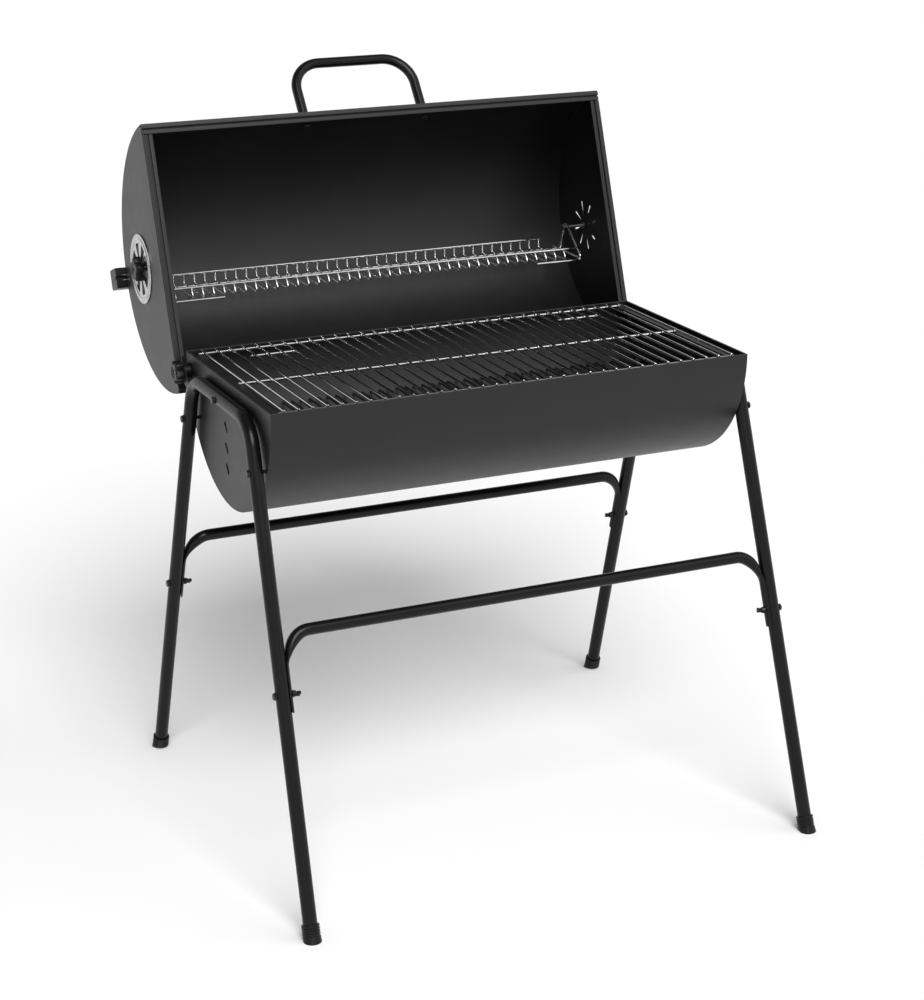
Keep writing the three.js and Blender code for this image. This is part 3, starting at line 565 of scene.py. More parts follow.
def along_x(piece, at, side):
    """Stands a piece drawn about Z on the X axis, with its height running outwards."""
    flip = Matrix.Scale(-1, 4, (1, 0, 0)) if side < 0 else Matrix.Identity(4)
    piece.data.transform(Matrix.Translation(at) @ flip @ ALONG_X)
    if side < 0:
        piece.data.flip_normals()
    return piece


# ---- bowl ----

def rounded(line, radius, steps=4):
    """Rounds the inner corners of an open line of (y, z) points."""
    path = stations([Vector((0, y, z)) for y, z in line], radius, steps)
    return [(p.y, p.z) for p in path]


def strip(name, line, x0, x1, near=SHEET / 2, far=-SHEET / 2):
    """A sheet bent along a line of (y, z) points. Its faces lie near and far to the left of the line."""
    points = [Vector((0, y, z)) for y, z in line]
    first, second = [], []
    for i, point in enumerate(points):
        into = (point - points[i - 1]).normalized() if i else (points[1] - point).normalized()
        away = (points[i + 1] - point).normalized() if i < len(points) - 1 else into
        mean = (into + away).normalized()
        normal = Vector((0, -mean.z, mean.y)) / max(0.5, mean.dot(into))
        first.append(point + normal * near)
        second.append(point + normal * far)
    loop = first + second[::-1]
    count = len(loop)
    vertices = [(x, p.y, p.z) for x in (x0, x1) for p in loop]
    faces = [(i, (i + 1) % count, count + (i + 1) % count, count + i) for i in range(count)]
    for i in range(len(points) - 1):
        j = count - 1 - i
        faces.append((i, j, j - 1, i + 1))
        faces.append((count + i, count + i + 1, count + j - 1, count + j))
    return smooth(welded(new_object(name, vertices, faces)), WIRE_CREASE)


def bowl_shell():
    """Half-round sheet whose rims are folded inwards into a flat hem."""
    inner = BOWL_RADIUS - SHEET
    fold = inner - 0.8 * MM
    bottom = -8 * MM
    steps = 96
    line = [(-(fold - 0.2 * MM), bottom), (-(fold - 0.2 * MM), -SHEET)]
    line += [(-(inner + 0.1 * MM), -0.05 * MM)]
    line += arc(0, 0, BOWL_RADIUS - 0.02 * MM, math.pi + 0.006, 2 * math.pi - 0.006, steps)
    line += [(inner + 0.1 * MM, -0.05 * MM)]
    line += [(fold - 0.2 * MM, -SHEET), (fold - 0.2 * MM, bottom)]
    piece = strip("bowl_sheet", line, -BOWL_HALF, BOWL_HALF, near=0, far=SHEET)
    dress(piece, "shell", "stand_and_bowl", "bowl_shell", BOWL_MATRIX)


def oblong(y, z, length, width, lean, steps=10):
    """A round-ended hole, leaning back from upright by an angle."""
    reach = (length - width) / 2
    along = Vector((math.sin(lean), math.cos(lean)))
    points = []
    for sign in (1, -1):
        centre = Vector((y, z)) + along * reach * sign
        heading = math.atan2(along.y * sign, along.x * sign)
        points += arc(centre.x, centre.y, width / 2, heading - math.pi / 2, heading + math.pi / 2, steps)
    return points


def bowl_end(side_name, side):
    radius = BOWL_RADIUS - SHEET - GAP
    outer = BOWL_HALF
    outline = arc(0, 0, radius, math.pi + 0.0055, 2 * math.pi - 0.0055, 96)
    slots = [
        oblong(AIR_SLOT_Y, -drop, AIR_SLOT_LENGTH, AIR_SLOT_WIDTH, AIR_SLOT_LEAN)
        for drop in AIR_SLOT_DROPS
    ]
    plate = extruded("plate", outline, outer - SHEET, outer, slots, 0.25 * MM)
    lip = extruded(
        "lip", [(-198 * MM, -1.6 * MM), (198 * MM, -1.6 * MM), (198 * MM, -0.1 * MM), (-198 * MM, -0.1 * MM)],
        outer - 4 * MM, outer - 0.6 * MM, bevel=0.3 * MM,
    )
    piece = merged(f"bowl_end_plate_{side_name}", [plate, lip])
    sided(piece, side)
    smooth(piece, PLATE_CREASE)
    dress(piece, "shell", "stand_and_bowl", f"bowl_end_{side_name}", BOWL_MATRIX)


# ---- stand ----

def leg_x(z):
    return LEG_FOOT.x + (LEG_TOP_X - LEG_FOOT.x) * z / LEG_TOP_Z


def leg_y(z):
    return LEG_FOOT.y - LEG_SPLAY * z


def leg_frame(side_name, side):
    corners = [
        (side * leg_x(FOOT_SOLE), -leg_y(FOOT_SOLE), FOOT_SOLE),
        (side * LEG_TOP_X, -leg_y(LEG_TOP_Z), LEG_TOP_Z),
        (side * LEG_TOP_X, leg_y(LEG_TOP_Z), LEG_TOP_Z),
        (side * leg_x(FOOT_SOLE), leg_y(FOOT_SOLE), FOOT_SOLE),
    ]
    tube = sweep(f"leg_tube_{side_name}", stations(corners, LEG_BEND, 20), LEG_RADIUS, 40, LEG_WALL)
    dress(tube, "tube", "stand_and_bowl", f"leg_frame_{side_name}", STAND_MATRIX)


def crossbar_x(z):
    return leg_x(z) - LEG_RADIUS - CROSSBAR_RADIUS - 2 * GAP


def pressed(tube, facing):
    """Presses the ends of a crossbar into saddles that wrap the inner sides of the legs."""
    mid_wall = CROSSBAR_RADIUS - CROSSBAR_WALL / 2
    for vertex in tube.data.vertices:
        x, y, z = vertex.co
        rise = min(1.0, max(0.0, (z - SADDLE_END) / (SADDLE_START - SADDLE_END)))
        share = 1 - rise * rise * (3 - 2 * rise)
        inwards = crossbar_x(z) - abs(x)
        along = y - facing * leg_y(z)
        outwards = math.hypot(inwards, along)
        if share > 0 and outwards > 0:
            half = SADDLE_HALF if outwards > mid_wall else SADDLE_HALF - CROSSBAR_WALL
            reach = SADDLE_RADIUS + half * inwards / outwards
            turn = along / SADDLE_RADIUS
            target_x = math.copysign(leg_x(z) - reach * math.cos(turn), x)
            target_y = facing * leg_y(z) + reach * math.sin(turn)
            vertex.co.x += (target_x - x) * share
            vertex.co.y += (target_y - y) * share
    return smooth(tube, TUBE_CREASE)


def crossbar(end_name, facing):
    low, high = CROSSBAR_END_Z, CROSSBAR_Z
    corners = [
        (-crossbar_x(low), facing * leg_y(low), low),
        (-crossbar_x(high), facing * leg_y(high), high),
        (crossbar_x(high), facing * leg_y(high), high),
        (crossbar_x(low), facing * leg_y(low), low),
    ]
    line = stations(corners, CROSSBAR_BEND, 20)
    steps = 12
    first = [line[0].lerp(line[1], i / steps) for i in range(steps)]
    last = [line[-2].lerp(line[-1], i / steps) for i in range(1, steps + 1)]
    line = first + line[1:-1] + last
    tube = sweep(f"crossbar_tube_{end_name}", line, CROSSBAR_RADIUS, 36, CROSSBAR_WALL)
    dress(pressed(tube, facing), "tube", "stand_and_bowl", f"crossbar_{end_name}", STAND_MATRIX)


def foot_cap(end_name, facing, side_name, side):
    """A ribbed shoe on the leg's end, with its sole level on the floor."""
    r = 13.9 * MM
    profile = [(0, -9 * MM), (r, -9 * MM), (r, 6.5 * MM)]
    for rib in range(4):
        z = 7.5 * MM + rib * 4 * MM
        profile += [(r - 0.9 * MM, z), (r - 0.9 * MM, z + 1.4 * MM), (r, z + 1.9 * MM), (r, z + 3.4 * MM)]
    top = 24 * MM
    socket = LEG_RADIUS + 0.35 * MM
    profile += [(r - 0.7 * MM, top), (socket, top), (socket, 8 * MM), (0, 8 * MM)]
    shoe = lathe("shoe", profile, 48)
    lean = Vector((-side * (LEG_FOOT.x - LEG_TOP_X) / LEG_TOP_Z, -facing * LEG_SPLAY, 1)).normalized()
    turn = Vector((0, 0, 1)).rotation_difference(lean).to_matrix().to_4x4()
    place = Matrix.Translation((side * LEG_FOOT.x, facing * LEG_FOOT.y, 0))
    shoe.data.transform(place @ turn)
    for vertex in shoe.data.vertices:
        vertex.co.z = max(vertex.co.z, 0.0)
    shoe.data.update()
    shoe.name = f"foot_shoe_{end_name}_{side_name}"
    smooth(welded(shoe), WIRE_CREASE)
    dress(shoe, "plastic", "stand_and_bowl", f"foot_cap_{end_name}_{side_name}", STAND_MATRIX)


# ---- fasteners ----

def hex_head(name, across, height, chamfer=0.5 * MM, crown=0.97, sides=24):
    """A hexagonal head whose corners are turned off by a chamfer, standing on z = 0."""
    flat = across / 2
    vertices = []
    for z in (0, height - chamfer, height):
        for turn in turns(sides):
            hexagon = flat / math.cos(turn % (math.pi / 3) - math.pi / 6)
            radius = hexagon if z < height else flat * crown
            vertices.append((radius * math.cos(turn), radius * math.sin(turn), z))
    faces = quads(3, sides)
    faces.append(tuple(range(sides))[::-1])
    faces.append(tuple(2 * sides + k for k in range(sides)))
    return new_object(name, vertices, faces, HEAD_CREASE)


def bolt(name, look, body, at, side, length, node, matrix, washer=True):
    """A hex bolt along X. Its head's bearing face is at the place given, and its shank runs inwards."""
    head = hex_head("head", HEX_ACROSS, BOLT_HEAD)
    parts = [head]
    if washer:
        rim, edge, thick = 6.4 * MM, 6 * MM, 0.9 * MM
        head.data.transform(Matrix.Translation((0, 0, thick)))
        parts.append(lathe("washer", [(0, 0), (rim, 0), (rim, 0.7 * MM), (edge, thick), (0, thick)]))
    count = int(length / BOLT_THREAD)
    pitch = length / count
    threads = [(0, -length), (BOLT_RADIUS - 0.4 * MM, -length)]
    for i in range(count):
        z = -length + (i + 0.25) * pitch
        threads += [(BOLT_RADIUS, z), (BOLT_RADIUS - 0.35 * MM, z + 0.5 * pitch)]
    threads += [(BOLT_RADIUS, -0.01 * MM), (0, -0.01 * MM)]
    parts.append(lathe("shank", threads, 16))
    piece = smooth(along_x(merged(name, parts), at, side), HEAD_CREASE)
    dress(piece, look, body, node, matrix)


def nut(name, at, side, node):
    """A hex nut along X on the stand, lying inwards from the place given."""
    piece = smooth(along_x(hex_head(name, HEX_ACROSS, NUT_HEIGHT), at, -side), HEAD_CREASE)
    dress(piece, "zinc", "stand_and_bowl", node, STAND_MATRIX)


def frame_bolts(side_name, side):
    y = leg_y(FRAME_BOLT_Z)
    spots = {"top": (0, LEG_TOP_Z), "front": (-y, FRAME_BOLT_Z), "rear": (y, FRAME_BOLT_Z)}
    for place, (y, z) in spots.items():
        outer = leg_x(z) + LEG_RADIUS - 0.2 * MM
        inner = BOWL_HALF - SHEET - 8 * MM
        bolt(
            f"bolt_{place}_{side_name}", "fastener", "stand_and_bowl", (side * outer, y, z), side,
            outer - inner, f"frame_bolt_{place}_{side_name}", STAND_MATRIX,
        )
        nut(
            f"nut_{place}_{side_name}", (side * (BOWL_HALF - SHEET - GAP), y, z), side,
            f"frame_nut_{place}_{side_name}",
        )


def crossbar_fasteners(end_name, facing, side_name, side):
    z = CROSSBAR_BOLT_Z
    y = facing * leg_y(z)
    outer = leg_x(z) + LEG_RADIUS - 0.2 * MM
    face = leg_x(z) - SADDLE_RADIUS - SADDLE_HALF - GAP
    inner = face - 13 * MM
    tag = f"{end_name}_{side_name}"
    bolt(
        f"crossbar_screw_{tag}", "fastener", "stand_and_bowl", (side * outer, y, z), side,
        outer - inner, f"crossbar_bolt_{tag}", STAND_MATRIX,
    )
    rows = [(0, 0), (5.6, 0), (5.2, 3), (4.2, 6), (3.2, 6.4), (0, 6.4)]
    hub = lathe("hub", [(reach * MM, height * MM) for reach, height in rows])
    hub.data.transform(Matrix.Rotation(math.radians(-90), 4, "Y"))
    parts = [hub]
    for sign in (1, -1):
        corners = [(-0.5, 2), (-8.5, 6.5), (-9, 9.2), (-7, 11), (-4, 9.6), (-0.6, 5)]
        outline = [(y * MM, z * MM * sign) for y, z in corners]
        wing = extruded("wing", outline, -0.9 * MM, 0.9 * MM, bevel=0.4 * MM)
        flat = Matrix.Rotation(math.radians(-90), 4, "Z")
        wing.data.transform(Matrix.Rotation(math.radians(90), 4, "X") @ flat)
        parts.append(wing)
    piece = merged(f"wing_{tag}", parts)
    sided(piece, side)
    piece.data.transform(Matrix.Translation((side * face, y, z)))
    smooth(piece, WIRE_CREASE)
    dress(piece, "fastener", "stand_and_bowl", f"wing_nut_{tag}", STAND_MATRIX)


# ---- lid, drawn closed about the middle of its open face ----

def lip_line(edge):
    """Middle of the folded edge: outer lip, groove and inner lip, as (across, up)."""
    half = SHEET / 2
    groove = edge - LIP_OUTER
    inner = groove - LIP_GROOVE
    end = inner - LIP_INNER
    return [
        (edge - half, 6 * MM), (edge - half, half), (groove + half, half),
        (groove + half, LIP_GROOVE_DEPTH + half), (inner - half, LIP_GROOVE_DEPTH + half),
        (inner - half, LIP_STEP + half), (end, LIP_STEP + half),
    ]


def lid_shell():
    mid = LID_RADIUS - SHEET / 2
    rear = rounded(lip_line(LID_RADIUS)[1:], 0.7 * MM)[::-1]
    front = [(-y, z) for y, z in rear[::-1]]
    line = rear[:-1] + arc(0, 0, mid, 0.01, math.pi - 0.01, 128) + front[1:]
    piece = strip("lid_sheet", line, -LID_HALF, LID_HALF)
    dress(piece, "shell", "lid", "lid_shell", LID_MATRIX)


def vent_slot(angle, half_width, steps=8):
    """A wedge-shaped slot on a ray from the vent's axis, with its outer end on a circle."""
    spread = math.asin(half_width / VENT_SLOT_OUTER)
    narrow = math.asin(half_width / 4 / VENT_SLOT_INNER)
    rim = arc(0, 0, VENT_SLOT_OUTER, angle - spread, angle + spread, steps)
    return rim + arc(0, 0, VENT_SLOT_INNER, angle + narrow, angle - narrow, 2)


def lid_end(side_name, side):
    radius = LID_RADIUS - SHEET - GAP
    x = LID_HALF - SHEET
    pivot = Vector((HINGE_IN_LID.y, HINGE_IN_LID.z))
    heel_reach = HEEL_REACH - HEEL_RADIUS
    heel = pivot + Vector((math.cos(HEEL_ANGLE), math.sin(HEEL_ANGLE))) * heel_reach
    lean = math.asin((EAR_RADIUS - HEEL_RADIUS) / heel_reach)
    quarter = math.pi / 2
    tail = arc(pivot.x, pivot.y, EAR_RADIUS, HEEL_ANGLE + quarter - lean, HEEL_ANGLE + 3 * quarter + lean, 32)
    tail += arc(heel.x, heel.y, HEEL_RADIUS, HEEL_ANGLE - quarter + lean, HEEL_ANGLE + quarter - lean, 12)
    slots = [
        [(y, z + VENT_HEIGHT) for y, z in vent_slot(turn, PLATE_SLOT_HALF)]
        for turn in turns(VENT_SLOTS)
    ]
    clear = LID_RADIUS - LIP_OUTER - LIP_GROOVE - LIP_INNER - GAP
    shoulder, foot, neck_top = 5.6 * MM, 3 * MM, 7 * MM
    rise = math.asin(shoulder / radius)
    outline = arc(0, 0, radius, rise, math.pi - rise, 96)
    outline += [(-clear, shoulder), (-clear, foot), (clear, foot), (clear, shoulder)]
    plate = extruded("plate", outline, x, LID_HALF, slots, 0.2 * MM)
    ear = extruded("ear", tail, x, LID_HALF, [circle(pivot.x, pivot.y, HINGE_BORE, 24)], 0.2 * MM)
    neck_outline = [
        (pivot.x - EAR_RADIUS, pivot.y), (pivot.x + EAR_RADIUS, pivot.y),
        (pivot.x + EAR_RADIUS, neck_top), (pivot.x - EAR_RADIUS, neck_top),
    ]
    neck = extruded("neck", neck_outline, x + 0.05 * MM, LID_HALF - 0.05 * MM, bevel=0.1 * MM)
    cut_hole(neck, pivot, HINGE_BORE)
    lip = rounded(lip_line(LID_HALF)[1:], 0.7 * MM)
    fold = strip("fold", lip, -201.2 * MM, 201.2 * MM)
    fold.data.transform(Matrix.Rotation(math.radians(-90), 4, "Z"))
    cut_box(fold, (380 * MM, 160.3 * MM, -5 * MM), (400.6 * MM, 210 * MM, 12 * MM))
    piece = merged(f"lid_end_plate_{side_name}", [plate, ear, neck, fold])
    sided(piece, side)
    smooth(piece, PLATE_CREASE)
    dress(piece, "shell", "lid", f"lid_end_{side_name}", LID_MATRIX)


def cut_with(piece, tool):
    modifier = piece.modifiers.new("cut", "BOOLEAN")
    modifier.operation = "DIFFERENCE"
    modifier.solver = "EXACT"
    modifier.object = tool
    mesh = evaluated(piece)
    piece.modifiers.clear()
    piece.data = mesh
    bpy.data.objects.remove(tool)
    return piece


def cut_box(piece, low, high):
    corners = [(x, y, z) for x in (low[0], high[0]) for y in (low[1], high[1]) for z in (low[2], high[2])]
    faces = [(0, 1, 3, 2), (4, 6, 7, 5), (0, 4, 5, 1), (2, 3, 7, 6), (0, 2, 6, 4), (1, 5, 7, 3)]
    return cut_with(piece, welded(new_object("tool", corners, faces)))


def cut_hole(piece, centre, radius):
    """Drills a hole along X through a plate of the lid's end."""
    tool = lathe("tool", [(0, 0), (radius, 0), (radius, 2 * LID_HALF), (0, 2 * LID_HALF)], 24)
    tool.data.transform(Matrix.Translation((0, centre.x, centre.y)) @ ALONG_X)
    return cut_with(piece, tool)


def outward(reach, x=0.0):
    """A place on the handle's plane, by its distance from the lid's axis."""
    return Vector((x, -reach * math.cos(HANDLE_ANGLE), reach * math.sin(HANDLE_ANGLE)))


def lid_handle():
    foot = LID_RADIUS + 0.6 * MM
    corners = [
        outward(foot, -HANDLE_HALF), outward(HANDLE_REACH, -HANDLE_HALF),
        outward(HANDLE_REACH, HANDLE_HALF), outward(foot, HANDLE_HALF),
    ]
    tube = sweep("handle_tube", stations(corners, HANDLE_BEND, 24), HANDLE_RADIUS, 36, HANDLE_WALL)
    dress(tube, "tube", "lid", "lid_handle", LID_MATRIX)
    turn = Vector((0, 0, 1)).rotation_difference(outward(1).normalized()).to_matrix().to_4x4()
    for side_name, side in SIDES:
        rows = [(0, -4), (3, -3.9), (5.6, -3.2), (7, -1.8), (7, -0.6), (3, -0.6), (3, 16), (0, 16)]
        screw = lathe(f"handle_pan_screw_{side_name}", [(reach * MM, height * MM) for reach, height in rows])
        place = Matrix.Translation(outward(LID_RADIUS - SHEET - GAP, side * HANDLE_HALF))
        dress(screw, "fastener", "lid", f"handle_screw_{side_name}", LID_MATRIX @ place @ turn)


def lid_grip():
    """The block on the crown's left end, with its bracket, screw and clip."""
    outer = GRIP_X - GRIP_LENGTH
    base = GRIP_HEIGHT - GRIP_HALF
    section = []
    for quarter, (y, z) in enumerate(((1, 1), (-1, 1), (-1, -1), (1, -1))):
        at_y, at_z = y * (GRIP_HALF - GRIP_CORNER), GRIP_HEIGHT + z * (GRIP_HALF - GRIP_CORNER)
        section += arc(at_y, at_z, GRIP_CORNER, quarter * math.pi / 2, (quarter + 1) * math.pi / 2, 8)
    block = extruded("grip_block", section, outer, GRIP_X, bevel=0.8 * MM)
    slot_end = outer + GRIP_SLOT_LENGTH
    cut_box(
        block, (outer - MM, -GRIP_SLOT_HALF, base - MM), (slot_end, GRIP_SLOT_HALF, base + GRIP_SLOT_DEPTH),
    )
    smooth(block, PLATE_CREASE)
    dress(block, "plastic", "lid", "lid_grip", LID_MATRIX)
    low = LID_RADIUS + GAP + SHEET / 2
    wall = GRIP_X + 1.2 * MM
    bracket_line = rounded([(GRIP_X + 29 * MM, low), (wall, low), (wall, low + 33 * MM)], 3 * MM, 8)
    bracket = crosswise(strip("grip_angle", bracket_line, -15 * MM, 15 * MM))
    dress(bracket, "shell", "lid", "grip_bracket", LID_MATRIX)
    at = (GRIP_X + 2.3 * MM, 0, GRIP_HEIGHT)
    bolt("grip_hex_screw", "zinc", "lid", at, 1, 20 * MM, "grip_screw", LID_MATRIX, washer=False)
    start, end, half = slot_end - 8.5 * MM, slot_end + 1.3 * MM, 4 * MM
    line = rounded([(start, half), (end, half), (end, -half), (start, -half)], 2 * MM, 6)
    clip = sweep("grip_wire_clip", [Vector((x, y, base - 1.1 * MM)) for x, y in line], 0.8 * MM, 16)
    dress(clip, "chrome", "lid", "grip_clip", LID_MATRIX)


# ---- vents and hinges ----

def lobed_knob(name, radius, lobe, depth, bore, sides=80):
    """A five-lobed knob with a soft crown and a dished face."""
    rows = (
        (0.97, 0), (1, 0.08), (1, 0.72), (0.975, 0.86), (0.91, 0.95), (0.82, 1), (0.6, 0.985), (0.5, 0.9),
    )
    vertices = []
    for share, height in rows:
        soften = 1 - 0.8 * (0.9 - share) / 0.4 if share < 0.9 else 1
        for turn in turns(sides):
            reach = (radius + lobe * math.cos(5 * turn) * soften) * share
            vertices.append((reach * math.cos(turn), reach * math.sin(turn), height * depth))
    for height in (0.9, 0):
        vertices += [(bore * math.cos(turn), bore * math.sin(turn), height * depth) for turn in turns(sides)]
    faces = quads(len(rows) + 2, sides, closed=True)
    return smooth(welded(new_object(name, vertices, faces)), TUBE_CREASE)


def vent(side_name, side):
    """A slotted disc with a pressed bead, turned by a knob on a pin through the lid's end."""
    body = f"vent_{side_name}"
    at = Vector((side * (LID_HALF + GAP), 0, VENT_HEIGHT))
    slots = [vent_slot(turn, DISC_SLOT_HALF) for turn in turns(VENT_SLOTS)]
    holes = [*slots, circle(0, 0, DISC_BORE, 24)]
    disc = extruded("disc", circle(0, 0, VENT_RADIUS, 96), 0, DISC_THICKNESS, holes, 0.25 * MM)
    disc.data.transform(ALONG_X.inverted())
    bead_rows = [
        (BEAD_RADIUS + BEAD_HALF * math.cos(turn), MM + BEAD_RISE * math.sin(turn))
        for turn in [math.pi * i / 10 for i in range(11)]
    ]
    bead = lathe("bead", bead_rows, 96, 60)
    piece = merged(f"vent_plate_{side_name}", [along_x(disc, at, side), along_x(bead, at, side)])
    smooth(piece, 20)
    dress(piece, "disc", body, f"vent_disc_{side_name}", LID_MATRIX)
    knob = lobed_knob(f"vent_lobed_knob_{side_name}", 18.5 * MM, 3 * MM, 12 * MM, DISC_BORE)
    along_x(knob, Vector((side * (LID_HALF + 2 * GAP + DISC_THICKNESS), 0, VENT_HEIGHT)), side)
    dress(knob, "plastic", body, f"vent_knob_{side_name}", LID_MATRIX)
    tip = LID_HALF + 10 * MM
    start, width = VENT_PIN_START, VENT_PIN_RADIUS
    shank = lathe("shank", [(0, start), (width, start), (width, tip - 0.6 * MM), (2.4 * MM, tip), (0, tip)])
    collar = hex_head("collar", HEX_ACROSS, NUT_HEIGHT)
    collar.data.transform(Matrix.Translation((0, 0, LID_HALF - SHEET - GAP - NUT_HEIGHT)))
    retainer = hex_head("retainer", HEX_ACROSS, 3 * MM)
    retainer.data.transform(Matrix.Translation((0, 0, start)))
    screw = merged(f"vent_peg_{side_name}", [shank, collar, retainer])
    smooth(along_x(screw, Vector((0, 0, VENT_HEIGHT)), side), WIRE_CREASE)
    dress(screw, "zinc", "lid", f"vent_bolt_{side_name}", LID_MATRIX)


def hinge(side_name, side):
    """The bolt the lid turns on, with the spacer between bowl and lid and the knob outside."""
    centre = Vector((0, 0, 0))
    width = HINGE_PIN_RADIUS
    face = BOWL_HALF - SHEET - GAP
    tip = LID_HALF + 12 * MM
    rows = [(0, face - MM), (width, face - MM), (width, tip - 0.8 * MM), (3.2 * MM, tip), (0, tip)]
    shank = lathe("shank", rows)
    head = hex_head("head", 12.9 * MM, 5 * MM)
    head.data.transform(Matrix.Scale(-1, 4, (0, 0, 1)))
    head.data.flip_normals()
    head.data.transform(Matrix.Translation((0, 0, face)))
    piece = along_x(merged(f"hinge_pin_{side_name}", [shank, head]), centre, side)
    smooth(piece, WIRE_CREASE)
    dress(piece, "zinc", "stand_and_bowl", f"hinge_bolt_{side_name}", HINGE_MATRIX)
    low, high = BOWL_HALF + GAP, LID_HALF - SHEET - GAP
    outer, edge = HINGE_SPACER_RADIUS, 0.5 * MM
    rows = [(HINGE_BORE, low), (outer - edge, low), (outer, low + edge), (outer, high - edge)]
    rows += [(outer - edge, high), (HINGE_BORE, high)]
    spacer = along_x(lathe(f"hinge_bush_{side_name}", rows, 48), centre, side)
    dress(spacer, "plastic", "stand_and_bowl", f"hinge_spacer_{side_name}", HINGE_MATRIX)
    knob = lobed_knob(f"hinge_lobed_knob_{side_name}", 17 * MM, 2.4 * MM, 14 * MM, HINGE_BORE)
    along_x(knob, Vector((side * (LID_HALF + GAP), 0, 0)), side)
    dress(knob, "plastic", "stand_and_bowl", f"hinge_knob_{side_name}", HINGE_MATRIX)


# ---- grates and rack ----

def wire(points, radius, sides=16):
    return sweep("wire", points, radius, sides, round_ends=radius * 0.45)


def bar_x(y, z, x0, x1, radius):
    return wire([(x0, y, z), (x1, y, z)], radius)


def wire_places(count, pitch):
    return [(i - (count - 1) / 2) * pitch for i in range(count)]


def grate(name, node, look, places, half_depth, level, bars):
    """Wires from front to back, welded on top of bars of (y, x0, x1)."""
    pieces = [wire([(x, -half_depth, level), (x, half_depth, level)], WIRE_RADIUS) for x in places]
    bar_level = level - WIRE_RADIUS - BAR_RADIUS + WELD_SINK
    pieces += [bar_x(y, bar_level, x0, x1, BAR_RADIUS) for y, x0, x1 in bars]
    piece = smooth(merged(name, pieces), WIRE_CREASE)
    dress(piece, look, node, node, Matrix.Translation((0, BOWL_MID.y, 0)))


def cooking_grate():
    places = wire_places(GRATE_WIRES, GRATE_PITCH)
    bars = [(y, -GRATE_BAR_HALF, GRATE_BAR_HALF) for y in GRATE_BARS]
    for first in (FIRST_STRAP, GRATE_WIRES - 1 - FIRST_STRAP - STRAP_GAPS):
        last = first + STRAP_GAPS
        bars.append((GRATE_STRAP_Y, places[first] - STRAP_OVERHANG, places[last] + STRAP_OVERHANG))
    grate("cooking_grate_wires", "cooking_grate", "chrome", places, GRATE_HALF_DEPTH, RIM - 1 * MM, bars)


def charcoal_grate():
    """Its wires are as long as the bowl is deep at their level."""
    depth = RIM - COAL_LEVEL + WIRE_RADIUS
    half = math.sqrt((BOWL_RADIUS - SHEET - GAP - 0.1 * MM) ** 2 - depth ** 2)
    places = wire_places(COAL_WIRES, COAL_PITCH)
    bars = [(y, -COAL_BAR_HALF, COAL_BAR_HALF) for y in COAL_BARS]
    grate("charcoal_grate_wires", "charcoal_grate", "coals", places, half, COAL_LEVEL, bars)


def grate_ledge(side_name, side):
    top = span(f"grate_ledge_{side_name}")[1].z
    wall = BOWL_HALF - SHEET - GAP
    middle, shelf = wall - SHEET / 2, top - SHEET / 2
    line = rounded([(wall - 23.9 * MM, shelf), (middle, shelf), (middle, top - 12 * MM)], 1.5 * MM, 6)
    piece = crosswise(strip(f"ledge_angle_{side_name}", line, -196 * MM, 196 * MM))
    place = Matrix.Translation((0, BOWL_MID.y, 0))
    dress(sided(piece, side), "shell", "stand_and_bowl", f"grate_ledge_{side_name}", place)


def warming_rack():
    front, rear, floor = -62 * MM, 51 * MM, -45 * MM
    lip_y, lip_z, fence_top = -47 * MM, -29 * MM, -28 * MM
    arm_x, arm_foot = 374 * MM, 25 * MM
    r, b = RACK_WIRE_RADIUS, RACK_BAR_RADIUS
    places = wire_places(RACK_WIRES, RACK_PITCH)
    pieces = []
    for x in places:
        corners = [(x, lip_y, lip_z), (x, front, floor), (x, rear, floor), (x, rear, fence_top)]
        pieces.append(wire(stations(corners, 4 * MM, 5), r, 14))
    top = 3 * MM + b + GAP
    for side in (-1, 1):
        x = side * arm_x
        hook = 4 * MM
        corners = [(x, 0, floor), (x, front, floor), (x, -hook, top), (x, hook, top), (x, arm_foot, floor)]
        pieces.append(wire(stations(corners, 3 * MM, 5), b, 14))
        pieces.append(wire([(x, 0, floor), (x, rear, floor)], b, 14))
    below = floor - r - b + WELD_SINK
    fence = places[-1] + STRAP_OVERHANG
    bar_end = arm_x + 2 * MM
    pieces.append(bar_x(lip_y, lip_z, -bar_end, bar_end, b))
    pieces.append(bar_x(rear, fence_top, -fence, fence, b))
    pieces.append(bar_x(rear - 8 * MM, below, -bar_end, bar_end, b))
    strap = places[-1] - STRAP_GAPS * RACK_PITCH
    pieces.append(bar_x(front + 4 * MM, below, strap, bar_end, b))
    pieces.append(bar_x(front + 4 * MM, below, -bar_end, -strap, b))
    piece = merged("rack_wires", pieces)
    smooth(piece, WIRE_CREASE)
    dress(piece, "chrome", "warming_rack", "warming_rack", RACK_MATRIX)


# ---- scene ----

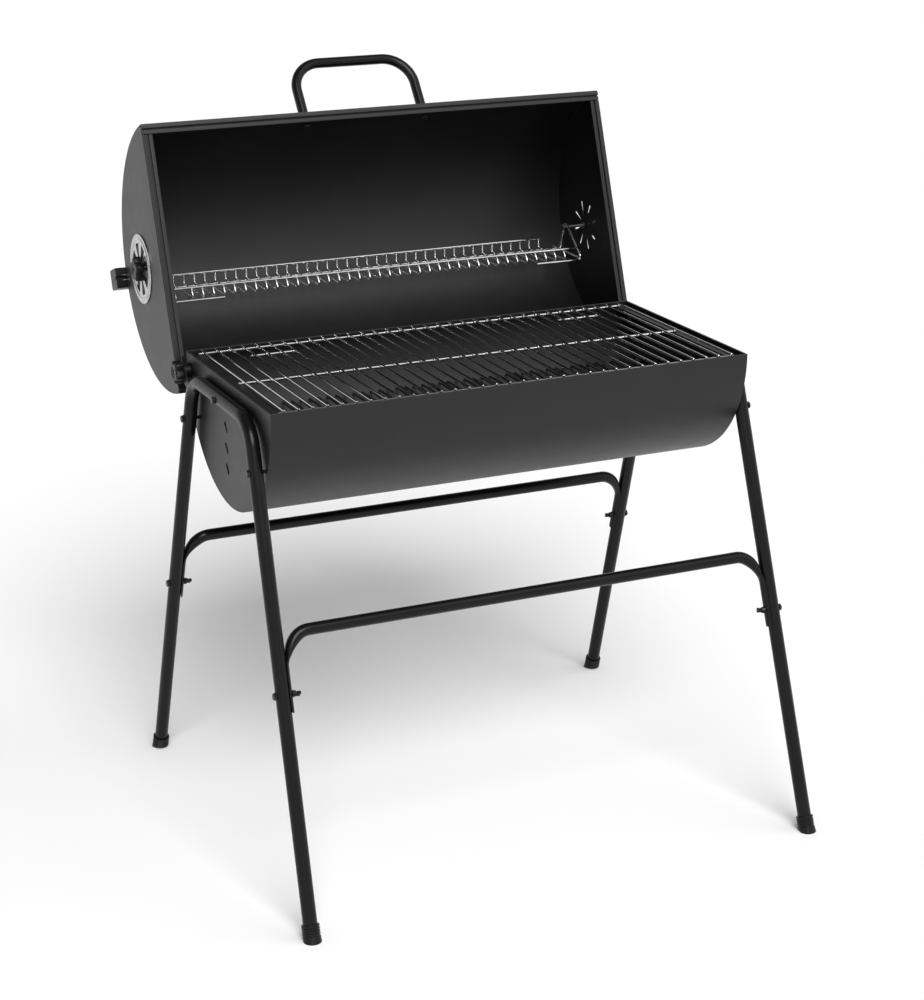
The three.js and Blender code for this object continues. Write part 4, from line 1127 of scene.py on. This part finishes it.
def stage_and_light():
    reach = 40
    corners = [(-reach, -reach, 0), (reach, -reach, 0), (reach, reach, 0), (-reach, reach, 0)]
    floor = new_object("floor", corners, [(0, 1, 2, 3)])
    n = Nodes("pale_floor")
    color = n.ramp(n.noise(1.5), ((0.3, (0.95, 0.95, 0.95)), (0.7, (0.96, 0.96, 0.96))))
    floor.data.materials.append(n.finish(color))
    n.shader.inputs["Roughness"].default_value = 0.8
    world = bpy.data.worlds.new("studio")
    world.use_nodes = True
    tree = world.node_tree
    height = tree.nodes.new("ShaderNodeSeparateXYZ")
    sky = tree.nodes.new("ShaderNodeValToRGB")
    tree.links.new(tree.nodes.new("ShaderNodeTexCoord").outputs["Generated"], height.inputs["Vector"])
    tree.links.new(height.outputs["Z"], sky.inputs["Fac"])
    tree.links.new(sky.outputs["Color"], tree.nodes["Background"].inputs["Color"])
    for element, (place, level) in zip(sky.color_ramp.elements, ((0.15, 1.0), (0.62, 0.2))):
        element.position = place
        element.color = (level, level, level, 1)
    tree.nodes["Background"].inputs["Strength"].default_value = WORLD_STRENGTH
    bpy.context.scene.world = world
    for name, toward, strength, spread in (
        ("key", (-0.12, -0.8, 0.85), KEY_STRENGTH, 35),
        ("fill", (0.8, -0.5, 0.8), FILL_STRENGTH, 50),
    ):
        light = bpy.data.lights.new(name, "SUN")
        light.energy = strength
        light.angle = math.radians(spread)
        holder = in_scene(name, light)
        holder.rotation_euler = (-Vector(toward)).to_track_quat("-Z", "Y").to_euler()
    bpy.context.scene.view_settings.view_transform = "Standard"


def camera():
    forward = (CAMERA_TARGET - CAMERA_AT).normalized()
    right = forward.cross(Vector((0, 0, 1))).normalized()
    up = right.cross(forward)
    level_right, level_up = right.copy(), up.copy()
    right = level_right * math.cos(CAMERA_ROLL) - level_up * math.sin(CAMERA_ROLL)
    up = level_right * math.sin(CAMERA_ROLL) + level_up * math.cos(CAMERA_ROLL)
    data = bpy.data.cameras.new("camera")
    data.sensor_fit = "VERTICAL"
    data.sensor_height = CAMERA_SENSOR
    data.lens = CAMERA_LENS
    holder = in_scene("camera", data)
    basis = Matrix((right, up, -forward)).transposed().to_4x4()
    holder.matrix_world = Matrix.Translation(CAMERA_AT + Vector((0, STAND_Y, 0))) @ basis
    bpy.context.scene.camera = holder


camera()
stage_and_light()
bowl_shell()
lid_shell()
lid_handle()
lid_grip()
cooking_grate()
charcoal_grate()
warming_rack()
for side_name, side in SIDES:
    bowl_end(side_name, side)
    lid_end(side_name, side)
    vent(side_name, side)
    hinge(side_name, side)
    grate_ledge(side_name, side)
    leg_frame(side_name, side)
    frame_bolts(side_name, side)
    for end_name, facing in FACINGS:
        foot_cap(end_name, facing, side_name, side)
        crossbar_fasteners(end_name, facing, side_name, side)
for end_name, facing in FACINGS:
    crossbar(end_name, facing)
